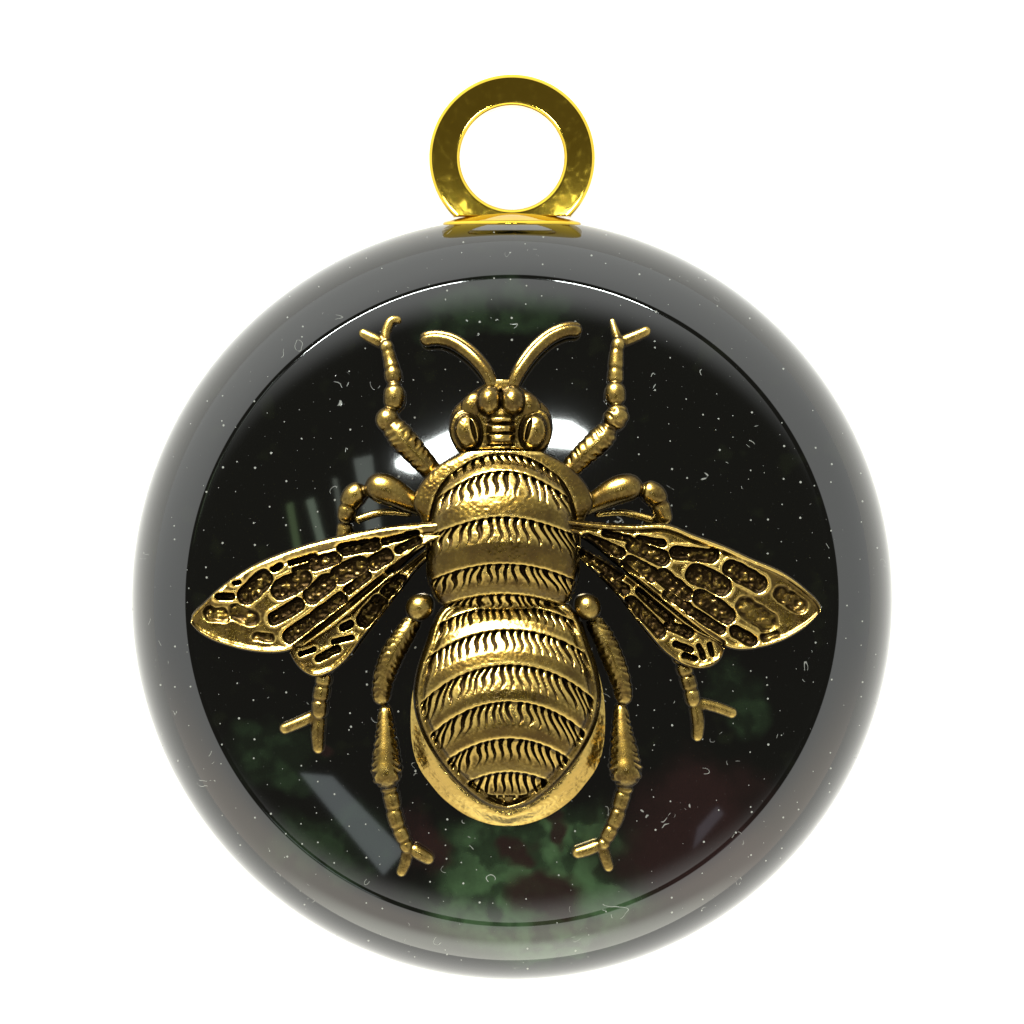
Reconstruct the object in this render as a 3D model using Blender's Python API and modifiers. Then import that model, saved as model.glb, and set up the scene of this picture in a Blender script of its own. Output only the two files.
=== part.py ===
"""Hanging ornament: a thick disc of marbled resin with a flat gold hanger ring on its top
edge and a large metal bee fixed to its front face.

World frame: +Z up, the front of the ornament faces -Y, and the origin is the centre of the
hanger ring's hole, where the ornament hangs from a hook or a ribbon.
Every length in the constants is in millimetres; MM turns it into Blender's metres.
"""

import math

import bmesh
import bpy
from mathutils import Vector

MM = 0.001

# The disc. Its own axis is level and points to the front; depths are from the ring's plane.
DISC_RADIUS = 28.5
DISC_DROP = 33.0
FACE_RADIUS = 23.65
FACE_RISE = 1.0
RIM_HALF_DEPTH = 6.5
DISC_FRONT = RIM_HALF_DEPTH + FACE_RISE
DISC_STEPS = 72
TOP_FLAT_DEPTH = 0.25

# The hanger: a flat ring that stands in a slot across a thin domed oval seat, which is fixed
# on the disc's small top flat.
RING_OUTER = 6.2
RING_INNER = 3.9
RING_HALF_THICKNESS = 1.3
RING_CHAMFER = 0.35
RING_STEPS = 64
SEAT_HALF_WIDTH = 5.2
SEAT_HALF_DEPTH = 3.1
SEAT_EDGE = 0.3
SEAT_HEIGHT = 0.7
SEAT_STEPS = 40

# The bee. Places are (across, up) from the disc's centre; heights are outwards from the
# middle of the face. The legs lie on the face, the wings pass over them, and the body is on top.
BEE_SHIFT = -0.35
BEE_TURN = 1.0
THORAX = {"centre": (0.0, 5.1), "half": (6.1, 5.4), "height": 5.3}
ABDOMEN = {"centre": (0.0, -8.35), "half": (7.0, 7.8), "height": 4.9}
HEAD = {"centre": (0.0, 13.1), "half": (3.5, 2.3), "height": 4.2}
EYE = {"centre": (2.45, 12.85), "half": (1.45, 1.7), "height": 3.7}
CROWN = {"centre": (0.85, 14.9), "half": (0.95, 0.9), "height": 3.4}
ABDOMEN_TAPER = 0.2
PLATE_MARGIN = 0.35
PLATE_DROP = 0.4
PLATE_THICKNESS = 0.4
PLATE_POINTS = 28
HINDWING_HEIGHT = 1.75
FOREWING_HEIGHT = 3.55
WING_THICKNESS = 0.6
WING_SLOPE = 4.0

# Pieces that touch or are soldered together keep a small gap, so that no two solids overlap.
GAP = 0.3
SOLDER_GAP = 0.1

SIDES = {"left": 1, "right": -1}

# Outlines of the left wings, root first, and the routes of the left legs: (across, up, radius).
FOREWING = [
    (-5.4, 5.9), (-11.4, 5.15), (-15.2, 4.25), (-18.9, 2.7), (-22.0, 0.35), (-22.9, -0.85),
    (-22.6, -1.6), (-20.1, -2.95), (-16.2, -3.4), (-11.4, -0.7), (-9.2, 1.25), (-5.5, 4.3),
]
HINDWING = [
    (-6.2, 3.7), (-6.1, 2.6), (-7.7, 1.1), (-8.95, -0.5), (-10.6, -2.6), (-11.9, -4.3),
    (-13.0, -5.0), (-14.05, -5.25), (-15.4, -4.4), (-15.6, -3.2), (-11.4, 0.3),
]
FORELEG = [
    (-5.5, 9.5, 0.85), (-7.3, 11.6, 1.0), (-8.5, 13.4, 1.0), (-8.25, 15.2, 0.95),
    (-8.4, 16.8, 0.65), (-8.8, 18.6, 0.5),
]
MIDLEG = [
    (-6.2, 6.7, 0.55), (-8.9, 7.8, 0.85), (-10.8, 7.7, 0.85), (-11.8, 6.0, 0.7),
    (-12.6, 0.7, 0.55), (-13.4, -5.0, 0.55), (-13.7, -8.2, 0.5),
]
HINDLEG = [
    (-5.5, -0.2, 0.6), (-7.1, -1.9, 0.8), (-8.3, -4.6, 0.85), (-9.1, -7.6, 0.9),
    (-9.4, -10.9, 0.95), (-9.2, -14.0, 0.8), (-8.3, -16.6, 0.6), (-7.3, -18.6, 0.5),
]
CLAW_RADIUS = 0.4
FORECLAW = [(-10.7, 19.7, CLAW_RADIUS), (-8.8, 18.7, 0.45), (-8.2, 20.7, CLAW_RADIUS)]
MIDCLAW = [(-16.6, -9.2, CLAW_RADIUS), (-13.7, -8.2, 0.45), (-13.9, -11.2, CLAW_RADIUS)]
HINDCLAW = [(-8.0, -20.3, CLAW_RADIUS), (-7.3, -18.6, 0.45), (-5.2, -19.3, CLAW_RADIUS)]
LEGS = {
    "foreleg": (FORELEG, FORECLAW), "midleg": (MIDLEG, MIDCLAW), "hindleg": (HINDLEG, HINDCLAW),
}
ANTENNA = [(-1.0, 16.4, 0.4), (-2.1, 17.7, 0.45), (-4.0, 19.1, 0.5), (-6.4, 19.1, 0.55)]


def clear_scene():
    for obj in list(bpy.data.objects):
        bpy.data.objects.remove(obj, do_unlink=True)


def collection(name, hidden=False):
    made = bpy.data.collections.new(name)
    made.hide_render = hidden
    bpy.context.scene.collection.children.link(made)
    return made


def material(name, colour, roughness, metallic=0.0):
    made = bpy.data.materials.new(name)
    made.use_nodes = True
    shader = made.node_tree.nodes["Principled BSDF"]
    shader.inputs["Base Color"].default_value = (*colour, 1.0)
    shader.inputs["Roughness"].default_value = roughness
    shader.inputs["Metallic"].default_value = metallic
    return made


def add_object(name, data, home, surface=None, parent=None):
    obj = bpy.data.objects.new(name, data)
    home.objects.link(obj)
    obj.parent = parent
    if surface:
        data.materials.append(surface)
    return obj


def mesh_object(name, bm, home, surface=None, parent=None):
    bmesh.ops.recalc_face_normals(bm, faces=bm.faces)
    mesh = bpy.data.meshes.new(name)
    bm.to_mesh(mesh)
    bm.free()
    mesh.shade_smooth()
    mesh.set_sharp_from_angle(angle=math.radians(35))
    return add_object(name, mesh, home, surface, parent)


def turned(name, profile, steps, home, surface=None, closed=False):
    """A solid turned about its own Z axis from (radius, height) points, outer side first."""
    mesh = bpy.data.meshes.new(name)
    points = [(radius * MM, 0.0, height * MM) for radius, height in profile]
    edges = [(i, i + 1) for i in range(len(points) - 1)]
    if closed:
        edges.append((len(points) - 1, 0))
    mesh.from_pydata(points, edges, [])
    obj = add_object(name, mesh, home, surface)
    screw = obj.modifiers.new("turn", "SCREW")
    screw.axis = "Z"
    screw.steps = steps
    screw.render_steps = steps
    screw.use_merge_vertices = True
    screw.merge_threshold = 0.00001
    return obj


def as_helper(obj):
    obj.hide_render = True
    obj.display_type = "WIRE"
    return obj


def boolean(obj, other, operation):
    modifier = obj.modifiers.new(operation.lower(), "BOOLEAN")
    modifier.operation = operation
    modifier.object = other


def box_cutter(name, low, high, home):
    bm = bmesh.new()
    bmesh.ops.create_cube(bm, size=1.0)
    middle = (Vector(low) + Vector(high)) / 2
    size = Vector(high) - Vector(low)
    for vert in bm.verts:
        vert.co = Vector(a * b for a, b in zip(vert.co, size)) + middle
    bmesh.ops.scale(bm, vec=(MM, MM, MM), verts=bm.verts)
    return as_helper(mesh_object(name, bm, home))


def disc_profile():
    """The disc's section: a slightly domed face, a full round rim and a flat back."""
    dome = [(FACE_RADIUS * f, DISC_FRONT - FACE_RISE * f * f) for f in (0.0, 0.35, 0.65, 0.85)]
    rim = []
    for degrees in range(90, -91, -15):
        angle = math.radians(degrees)
        out = (DISC_RADIUS - FACE_RADIUS) * math.cos(angle)
        rim.append((FACE_RADIUS + out, RIM_HALF_DEPTH * math.sin(angle)))
    return dome + rim + [(0.0, -RIM_HALF_DEPTH)]


def make_disc(home, tools, marbling):
    """The disc, with the small flat on top that takes the seat. Gives that flat's height."""
    flat = DISC_RADIUS - TOP_FLAT_DEPTH - DISC_DROP
    disc = turned("disc", disc_profile(), DISC_STEPS, home, marbling)
    disc.rotation_euler.x = math.radians(90)
    disc.location.z = -DISC_DROP * MM
    cutter = box_cutter("top_flat_cutter", (-10, -10, flat), (10, 10, flat + 5), tools)
    boolean(disc, cutter, "DIFFERENCE")
    return flat


def make_hanger(flat, home, tools, gold):
    """The seat, and the ring whose flat foot stands in the seat's slot."""
    bottom = flat + SOLDER_GAP
    edge = bottom + SEAT_EDGE
    rise = SEAT_HEIGHT - SEAT_EDGE
    dome = [(SEAT_HALF_WIDTH * f, edge + rise * (1 - f * f)) for f in (0.0, 0.4, 0.7, 0.9, 1.0)]
    profile = dome + [(SEAT_HALF_WIDTH, bottom), (0.0, bottom)]
    seat = turned("seat_plate", profile, SEAT_STEPS, home, gold)
    seat.scale.y = SEAT_HALF_DEPTH / SEAT_HALF_WIDTH
    half, cut = RING_HALF_THICKNESS, RING_CHAMFER
    section = [
        (RING_INNER + cut, half), (RING_OUTER - cut, half), (RING_OUTER, half - cut),
        (RING_OUTER, cut - half), (RING_OUTER - cut, -half), (RING_INNER + cut, -half),
        (RING_INNER, cut - half), (RING_INNER, half - cut),
    ]
    ring = turned("hanger_ring", section, RING_STEPS, home, gold, closed=True)
    ring.rotation_euler.x = math.radians(90)
    foot = box_cutter("ring_foot_cutter", (-9, -5, -9), (9, 5, edge), tools)
    boolean(ring, foot, "DIFFERENCE")
    slot_half = math.sqrt(RING_OUTER ** 2 - edge ** 2) + SOLDER_GAP
    slot = box_cutter(
        "seat_slot_cutter", (-slot_half, -half - SOLDER_GAP, edge - SOLDER_GAP),
        (slot_half, half + SOLDER_GAP, edge + 2), tools,
    )
    boolean(seat, slot, "DIFFERENCE")


def narrowing(up):
    """How wide the abdomen is against a plain oval, from its lower end (-1) to its upper (1)."""
    return 1 + ABDOMEN_TAPER * up - 0.5 * ABDOMEN_TAPER * (1 - up * up)


def dome_mesh(centre, half, height, base=GAP, tapered=False, segments=24, rings=14):
    """A flat-backed dome on an oval foot."""
    bm = bmesh.new()
    bmesh.ops.create_uvsphere(bm, u_segments=segments, v_segments=rings, radius=1.0)
    back = [vert for vert in bm.verts if vert.co.z < -0.01]
    bmesh.ops.delete(bm, geom=back, context="VERTS")
    bmesh.ops.holes_fill(bm, edges=[edge for edge in bm.edges if edge.is_boundary])
    for vert in bm.verts:
        width = narrowing(vert.co.y) if tapered else 1.0
        vert.co = Vector((
            centre[0] + half[0] * vert.co.x * width,
            centre[1] + half[1] * vert.co.y,
            base + (height - base) * vert.co.z,
        ))
    bmesh.ops.scale(bm, vec=(MM, MM, MM), verts=bm.verts)
    return bm


def make_body(frame, home, tools, gold):
    """The bee's head, thorax and abdomen, and the thin plate under the abdomen."""
    base = GAP + PLATE_THICKNESS + SOLDER_GAP
    abdomen = dome_mesh(**ABDOMEN, base=base, tapered=True)
    mesh_object("bee_abdomen", abdomen, home, gold, frame)
    mesh_object("bee_thorax", dome_mesh(**THORAX), home, gold, frame)
    head = mesh_object("bee_head", dome_mesh(**HEAD), home, gold, frame)
    for side in (-1, 1):
        for label, lobe in (("eye", EYE), ("crown", CROWN)):
            place = (side * lobe["centre"][0], lobe["centre"][1])
            shape = dome_mesh(place, lobe["half"], lobe["height"], segments=16, rings=10)
            part = mesh_object(f"{label}_{side}", shape, tools, None, frame)
            boolean(head, as_helper(part), "UNION")
    outline = []
    for i in range(PLATE_POINTS):
        angle = 2 * math.pi * i / PLATE_POINTS
        across, up = math.cos(angle), math.sin(angle)
        outline.append((
            (ABDOMEN["half"][0] + PLATE_MARGIN) * across * narrowing(up),
            ABDOMEN["centre"][1] - PLATE_DROP + ABDOMEN["half"][1] * up,
        ))
    back_plate = flat_piece("bee_back_plate", outline, PLATE_THICKNESS, home, gold, frame, 1)
    back_plate.location.z = (GAP + PLATE_THICKNESS / 2) * MM


def curve_mesh(name, curve, home, surface, parent):
    """A closed mesh object from a curve, its caps welded on."""
    guide = bpy.data.objects.new(name + "_curve", curve)
    bpy.context.scene.collection.objects.link(guide)
    graph = bpy.context.evaluated_depsgraph_get()
    mesh = bpy.data.meshes.new_from_object(guide.evaluated_get(graph))
    bpy.data.objects.remove(guide)
    bpy.data.curves.remove(curve)
    bm = bmesh.new()
    bm.from_mesh(mesh)
    bpy.data.meshes.remove(mesh)
    bmesh.ops.remove_doubles(bm, verts=bm.verts, dist=0.000001)
    return mesh_object(name, bm, home, surface, parent)


def add_spline(curve, points, cyclic):
    """A smooth spline through (across, up, height, radius) points."""
    spline = curve.splines.new("BEZIER")
    spline.bezier_points.add(len(points) - 1)
    for knot, point in zip(spline.bezier_points, points):
        knot.co = [value * MM for value in point[:3]]
        knot.radius = point[3]
        knot.handle_left_type = knot.handle_right_type = "AUTO"
    spline.use_cyclic_u = cyclic


def flat_piece(name, outline, thickness, home, surface, parent, resolution=3):
    """A flat plate with a smooth outline, half of its thickness to each side of height 0."""
    curve = bpy.data.curves.new(name, "CURVE")
    curve.dimensions = "2D"
    curve.fill_mode = "BOTH"
    curve.extrude = thickness * MM / 2
    curve.resolution_u = resolution
    add_spline(curve, [(x, y, 0.0, 1.0) for x, y in outline], True)
    return curve_mesh(name, curve, home, surface, parent)


def rod(name, route, home, surface, parent):
    """A round bar through (across, up, radius) points, lying just clear of the domed face."""
    curve = bpy.data.curves.new(name, "CURVE")
    curve.dimensions = "3D"
    curve.bevel_depth = MM
    curve.bevel_resolution = 2
    curve.use_fill_caps = True
    curve.resolution_u = 3
    points = []
    for across, up, radius in route:
        drop = FACE_RISE * (across * across + up * up) / FACE_RADIUS ** 2
        points.append((across, up, GAP + radius - drop, radius))
    add_spline(curve, points, False)
    return curve_mesh(name, curve, home, surface, parent)


def on_side(points, sign):
    """The left side's points, kept for sign 1 and mirrored for sign -1."""
    return [(sign * point[0], *point[1:]) for point in points]


def make_wings(frame, home, gold):
    """Four plates. The forewings slope down to their tips."""
    for side, sign in SIDES.items():
        for label, outline, height, slope in (
            ("hindwing", HINDWING, HINDWING_HEIGHT, 0.0),
            ("forewing", FOREWING, FOREWING_HEIGHT, WING_SLOPE),
        ):
            shape = on_side(outline, sign)
            wing = flat_piece(f"bee_{label}_{side}", shape, WING_THICKNESS, home, gold, frame)
            wing.location.z = height * MM
            wing.rotation_euler.y = math.radians(-sign * slope)


def make_legs(frame, home, tools, gold):
    """Six tapering legs that end in two-pronged claws, and the two antennae."""
    for side, sign in SIDES.items():
        for label, (route, fork) in LEGS.items():
            leg = rod(f"bee_{label}_{side}", on_side(route, sign), home, gold, frame)
            claw = rod(f"claw_{label}_{side}", on_side(fork, sign), tools, None, frame)
            boolean(leg, as_helper(claw), "UNION")
        rod(f"bee_antenna_{side}", on_side(ANTENNA, sign), home, gold, frame)


def main():
    clear_scene()
    home = collection("bee_resin_ornament")
    tools = collection("cutters", hidden=True)
    marbling = material("marbled_resin", (0.02, 0.035, 0.02), 0.06)
    ring_gold = material("polished_gold", (0.80, 0.56, 0.12), 0.12, 1.0)
    bee_gold = material("antique_gold", (0.62, 0.42, 0.14), 0.35, 1.0)
    flat = make_disc(home, tools, marbling)
    make_hanger(flat, home, tools, ring_gold)
    frame = add_object("bee_frame", None, home)
    frame.location = (BEE_SHIFT * MM, -DISC_FRONT * MM, -DISC_DROP * MM)
    frame.rotation_euler = (math.radians(90), math.radians(-BEE_TURN), 0.0)
    make_body(frame, home, tools, bee_gold)
    make_wings(frame, home, bee_gold)
    make_legs(frame, home, tools, bee_gold)


main()
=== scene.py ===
"""Hanging disc ornament: a thick marbled resin disc, a flat gold hanger ring on a small seat,
and a large bee cast in antique gold on the front face."""

import math

import bmesh
import bpy
import numpy as np
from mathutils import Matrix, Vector


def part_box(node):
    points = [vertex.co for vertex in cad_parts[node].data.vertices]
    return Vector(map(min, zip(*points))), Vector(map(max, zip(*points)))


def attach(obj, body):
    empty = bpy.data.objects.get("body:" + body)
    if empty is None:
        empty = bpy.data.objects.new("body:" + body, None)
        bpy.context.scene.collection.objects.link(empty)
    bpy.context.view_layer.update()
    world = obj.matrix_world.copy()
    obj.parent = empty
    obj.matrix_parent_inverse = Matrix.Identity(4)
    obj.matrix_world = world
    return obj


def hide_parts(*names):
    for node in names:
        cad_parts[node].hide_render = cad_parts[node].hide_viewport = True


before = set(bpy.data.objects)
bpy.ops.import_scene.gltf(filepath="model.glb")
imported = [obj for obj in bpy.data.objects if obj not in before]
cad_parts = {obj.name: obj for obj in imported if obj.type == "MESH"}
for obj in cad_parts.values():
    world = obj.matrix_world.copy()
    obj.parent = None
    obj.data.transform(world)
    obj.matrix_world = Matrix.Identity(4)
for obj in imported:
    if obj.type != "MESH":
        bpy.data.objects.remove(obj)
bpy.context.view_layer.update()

bl_info = {
    "name": "Hanging bee disc",
    "version": (1, 0, 0),
    "blender": (4, 5, 0),
    "location": "3D View > Sidebar > Ornament",
    "description": "Builds a hanging resin disc with a gold ring and a cast bee",
    "category": "Add Mesh",
}

MM = 0.001
BODY = "root"


def node_box(name):
    """A CAD node's lowest and highest corner, in millimetres."""
    low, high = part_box(name)
    return np.array(low) / MM, np.array(high) / MM


DISC_LOW, DISC_HIGH = node_box("disc")
SEAT_LOW, SEAT_HIGH = node_box("seat_plate")
RING_LOW, RING_HIGH = node_box("hanger_ring")
DISC_RADIUS = (DISC_HIGH[0] - DISC_LOW[0]) / 2
DISC_MID = DISC_LOW[2] + DISC_RADIUS
FACE_FRONT = DISC_LOW[1]
RIM_HALF_DEPTH = DISC_HIGH[1]
RING_OUTER = RING_HIGH[2]

# The bee's places are (across, up) in millimetres from the disc's centre, and heights are
# outwards from the middle of the face.
BEE_SHIFT = -0.35


# ---------------------------------------------------------------- sizes and colours


def length(name, text, millimetres):
    return bpy.props.FloatProperty(name=name, description=text, default=millimetres * MM, unit="LENGTH")


def tint(name, text, colour):
    return bpy.props.FloatVectorProperty(
        name=name, description=text, default=colour, subtype="COLOR", size=3)


class DiscSizes(bpy.types.PropertyGroup):
    crease_radius: length("Crease radius", "Radius where the face meets the rounded rim", 23.65)
    face_rise: length("Face rise", "How far the middle of the face stands out", 1.0)


class RingSizes(bpy.types.PropertyGroup):
    hole_radius: length("Hole radius", "Radius of the hanger ring's hole", 3.9)
    edge_round: length("Edge round", "Radius of the ring's rounded edges", 0.20)


class GoldColours(bpy.types.PropertyGroup):
    polished: tint("Polished gold", "Colour of the ring and its seat", (0.50, 0.345, 0.040))
    rubbed: tint("Rubbed gold", "Colour of the bee's rubbed high places", (0.215, 0.150, 0.038))
    cast: tint("Cast gold", "Colour of the bee's plain surfaces", (0.041, 0.0262, 0.0032))
    patina: tint("Patina", "Colour that stays in the bee's hollows", (0.004, 0.0025, 0.001))


class ResinColours(bpy.types.PropertyGroup):
    deep: tint("Deep green", "Near-black green of most of the disc", (0.0007, 0.0010, 0.0006))
    # This green is also the painted glow of light through the resin, used at full strength in the big
    # bottom cloud.
    green: tint("Green", "Green of the lighter clouds", (0.026, 0.052, 0.022))
    plum: tint("Plum", "Plum brown of the spots and the lower right cloud", (0.012, 0.0045, 0.0042))


class StageSizes(bpy.types.PropertyGroup):
    camera_distance: bpy.props.FloatProperty(
        name="Camera distance", description="From the ring's plane to the camera",
        default=0.3, unit="LENGTH")
    camera_height: length("Camera height", "Height of the camera against the ring's hole", -26.5)
    lens: bpy.props.FloatProperty(
        name="Lens", description="Focal length in millimetres", default=140.6)


# ---------------------------------------------------------------- node helpers


class Value:
    """A node socket that plain arithmetic works on."""

    def __init__(self, bench, socket):
        self.bench = bench
        self.socket = socket

    def maths(self, operation, *others):
        made = self.bench.node("ShaderNodeMath", {"operation": operation},
                               dict(enumerate((self,) + others)))
        return self.bench.out(made)

    def __add__(self, other):
        return self.maths("ADD", other)

    def __sub__(self, other):
        return self.maths("SUBTRACT", other)

    def __mul__(self, other):
        return self.maths("MULTIPLY", other)

    def __truediv__(self, other):
        return self.maths("DIVIDE", other)

    def __rsub__(self, other):
        return (self * -1.0) + other

    def __neg__(self):
        return self * -1.0

    def __pow__(self, other):
        return self.maths("POWER", other)

    __radd__ = __add__
    __rmul__ = __mul__

    def smooth(self, low, high):
        """0 below low, 1 above high, eased between them."""
        made = self.bench.node("ShaderNodeMapRange", {"interpolation_type": "SMOOTHSTEP"},
                               {"Value": self, "From Min": low, "From Max": high})
        return self.bench.out(made)


class Bench:
    """A node tree, with one method that makes any node."""

    def __init__(self, tree):
        self.tree = tree

    def node(self, kind, settings=None, sockets=None):
        made = self.tree.nodes.new(kind)
        for name, value in (settings or {}).items():
            setattr(made, name, value)
        for name, value in (sockets or {}).items():
            if isinstance(value, Value):
                self.tree.links.new(value.socket, made.inputs[name])
            else:
                made.inputs[name].default_value = value
        return made

    def out(self, made, name=0):
        return Value(self, made.outputs[name])

    def mix(self, factor, first, second):
        """Mixes two colours."""
        made = self.node("ShaderNodeMix", {"data_type": "RGBA"})
        for place, value in ((0, factor), (6, first), (7, second)):
            if isinstance(value, Value):
                self.tree.links.new(value.socket, made.inputs[place])
            elif place:
                made.inputs[place].default_value = (*tuple(value)[:3], 1.0)
            else:
                made.inputs[place].default_value = value
        return self.out(made, 2)

    def vector(self, operation, first, second):
        made = self.node("ShaderNodeVectorMath", {"operation": operation}, {0: first, 1: second})
        return self.out(made, "Vector")

    def noise(self, place, scale, detail=3.0, roughness=0.5, colour=False):
        made = self.node("ShaderNodeTexNoise", {}, {
            "Vector": place, "Scale": scale, "Detail": detail, "Roughness": roughness})
        return self.out(made, "Color" if colour else "Fac")

    def split(self, place):
        made = self.node("ShaderNodeSeparateXYZ", {}, {0: place})
        return [self.out(made, k) for k in range(3)]

    def millimetres(self, origin=(0.0, 0.0, 0.0)):
        """The object's own coordinates in millimetres from a point, also in millimetres."""
        place = self.out(self.node("ShaderNodeTexCoord"), "Object")
        scaled = self.vector("MULTIPLY", place, (1 / MM,) * 3)
        return self.vector("SUBTRACT", scaled, origin)

    def bump(self, height, strength, distance):
        made = self.node("ShaderNodeBump", {}, {
            "Height": height, "Strength": strength, "Distance": distance * MM})
        return self.out(made)


def new_material(name):
    material = bpy.data.materials.new(name)
    material.use_nodes = True
    material.node_tree.nodes.clear()
    return material, Bench(material.node_tree)


def finish_with(bench, shader):
    end = bench.node("ShaderNodeOutputMaterial")
    bench.tree.links.new(shader.outputs[0], end.inputs["Surface"])


def surface(bench, sockets):
    """Ends a material in one Principled shader."""
    finish_with(bench, bench.node("ShaderNodeBsdfPrincipled", {}, sockets))


def rgba(colour):
    return (*tuple(colour)[:3], 1.0)


# ---------------------------------------------------------------- materials


def make_polished_gold():
    colours = bpy.context.scene.ornament_gold
    material, bench = new_material("polished gold")
    place = bench.millimetres()
    fine = bench.noise(place, 1.6, 4.0)
    wear = bench.noise(place, 0.35, 3.0)
    colour = bench.mix(wear.smooth(0.35, 0.75), rgba(colours.polished), (0.46, 0.31, 0.032))
    surface(bench, {
        "Base Color": colour,
        "Metallic": 1.0,
        "Roughness": 0.03 + fine.smooth(0.45, 0.8) * 0.03,
        "Normal": bench.bump(fine, 0.03, 0.02),
    })
    return material


def make_antique_gold():
    colours = bpy.context.scene.ornament_gold
    material, bench = new_material("antique gold")
    place = bench.millimetres()
    fine = bench.noise(place, 5.5, 3.0, 0.6)
    cloud = bench.noise(place, 0.8, 3.0)
    hollow = bench.out(bench.node("ShaderNodeAttribute", {"attribute_name": "hollow"}), "Fac")
    uneven = hollow + (fine - 0.5) * 0.05 + (cloud - 0.5) * 0.03
    dark = uneven.smooth(0.012, 0.085)
    rubbed = (-uneven).smooth(0.005, 0.075)
    plain = bench.mix(cloud.smooth(0.3, 0.7), rgba(colours.cast), (0.026, 0.0150, 0.0015))
    colour = bench.mix(rubbed, plain, rgba(colours.rubbed))
    colour = bench.mix(dark, colour, rgba(colours.patina))
    surface(bench, {
        "Base Color": colour,
        "Metallic": 1.0,
        "Roughness": 0.27 + dark * 0.2 - rubbed * 0.05 + (fine - 0.5) * 0.18,
        "Coat Weight": 0.13 - dark * 0.13,
        "Coat Roughness": 0.2,
        "Normal": bench.bump(fine, 0.35, 0.03),
    })
    return material


# The big cloud at the bottom is the resin's green mottle with a painted glow on it: it is made bright
# where light passing through the resin would gather at the bottom.
GLOW_AND_GREEN_CLOUDS = ((2.0, -21.5, 8.2, 7.2),)
DIM_GREEN_CLOUDS = ((-17.0, -11.0, 4.2, 2.6), (-1.0, 21.3, 6.5, 2.2), (16.5, -7.0, 2.4, 2.8),
                    (-14.0, -18.0, 6.0, 3.0))
PLUM_CLOUDS = ((13.5, -17.5, 6.5, 6.0), (0.0, -18.5, 1.5, 1.1),
               (3.2, -16.3, 1.2, 1.2), (2.4, -21.7, 3.6, 2.6), (-13.5, -11.2, 1.2, 0.9),
               (-6.5, -18.0, 2.2, 2.6))


def clouds(across, up, blobs):
    """Soft ovals joined into one mask."""
    total = None
    for centre_x, centre_z, half_x, half_z in blobs:
        first = (across - centre_x) / half_x
        second = (up - centre_z) / half_z
        far = (first * first + second * second) ** 0.5
        blob = 1.0 - far.smooth(0.5, 1.2)
        total = blob if total is None else total.maths("MAXIMUM", blob)
    return total


def make_marbled_resin():
    colours = bpy.context.scene.ornament_resin
    material, bench = new_material("marbled resin")
    place = bench.millimetres((0.0, 0.0, DISC_MID))
    swirl = bench.noise(place, 0.28, 2.0, 0.5, colour=True)
    swirl = bench.vector("SUBTRACT", swirl, (0.5, 0.5, 0.5))
    bent = bench.vector("ADD", place, bench.vector("MULTIPLY", swirl, (6.5, 6.5, 6.5)))
    across, _, up = bench.split(bent)
    blotch = bench.noise(place, 0.42, 2.0, 0.45)
    mottle = bench.noise(place, 1.7, 3.0, 0.6)
    # Painted glow: the full-strength green cloud at the bottom stands in for light passing through the
    # resin and gathering there, on top of its green mottle.
    green = clouds(across, up, GLOW_AND_GREEN_CLOUDS)
    green = green.maths("MAXIMUM", clouds(across, up, DIM_GREEN_CLOUDS) * 0.28)
    green = green * (0.35 + blotch.smooth(0.40, 0.56) * 0.65)
    plum = clouds(across, up, PLUM_CLOUDS)
    stray = blotch.smooth(0.60, 0.70) * 0.35
    colour = bench.mix(stray, rgba(colours.deep), (0.006, 0.008, 0.003, 1.0))
    colour = bench.mix(green * (0.7 + mottle * 0.6), colour, rgba(colours.green))
    colour = bench.mix(plum * (0.75 + mottle * 0.3), colour, rgba(colours.plum))
    plain_x, _, plain_z = bench.split(place)
    flat = bench.out(bench.node("ShaderNodeCombineXYZ", {}, {0: plain_x, 1: plain_z}))
    bent_flat = bench.out(bench.node("ShaderNodeCombineXYZ", {}, {0: across, 1: up}))
    specks = bench.node("ShaderNodeTexVoronoi", {"voronoi_dimensions": "2D"}, {
        "Vector": flat, "Scale": 0.85})
    size = bench.split(bench.out(specks, "Color"))[0]
    reach = (size - 0.35).maths("MAXIMUM", 0.0) ** 2.0 * 0.16
    dust = 1.0 - (bench.out(specks, "Distance") - reach).smooth(-0.012, 0.012)
    lint_cells = bench.node("ShaderNodeTexVoronoi", {"voronoi_dimensions": "2D"}, {
        "Vector": bent_flat, "Scale": 0.4})
    pick, turn, _ = bench.split(bench.out(lint_cells, "Color"))
    loop = (bench.out(lint_cells, "Distance") - 0.16).maths("ABSOLUTE")
    lint = (1.0 - loop.smooth(0.006, 0.016)) * pick.smooth(0.78, 0.80)
    lint = lint * bench.noise(place, 1.3, 1.0).smooth(0.55, 0.6) * (0.4 + turn * 0.5)
    white = dust.maths("MAXIMUM", lint)
    colour = bench.mix(white * 0.85, colour, (0.20, 0.21, 0.185, 1.0))
    surface(bench, {
        "Base Color": colour,
        "Roughness": 0.03 + white * 0.5,
        "IOR": 1.58,
        "Normal": bench.bump(white, 0.25, 0.02),
    })
    return material


def material(name):
    """Gives a finish by name, and makes it the first time it is asked for."""
    makers = {"polished gold": make_polished_gold, "antique gold": make_antique_gold,
              "marbled resin": make_marbled_resin}
    return bpy.data.materials.get(name) or makers[name]()


# ---------------------------------------------------------------- shape helpers


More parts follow.
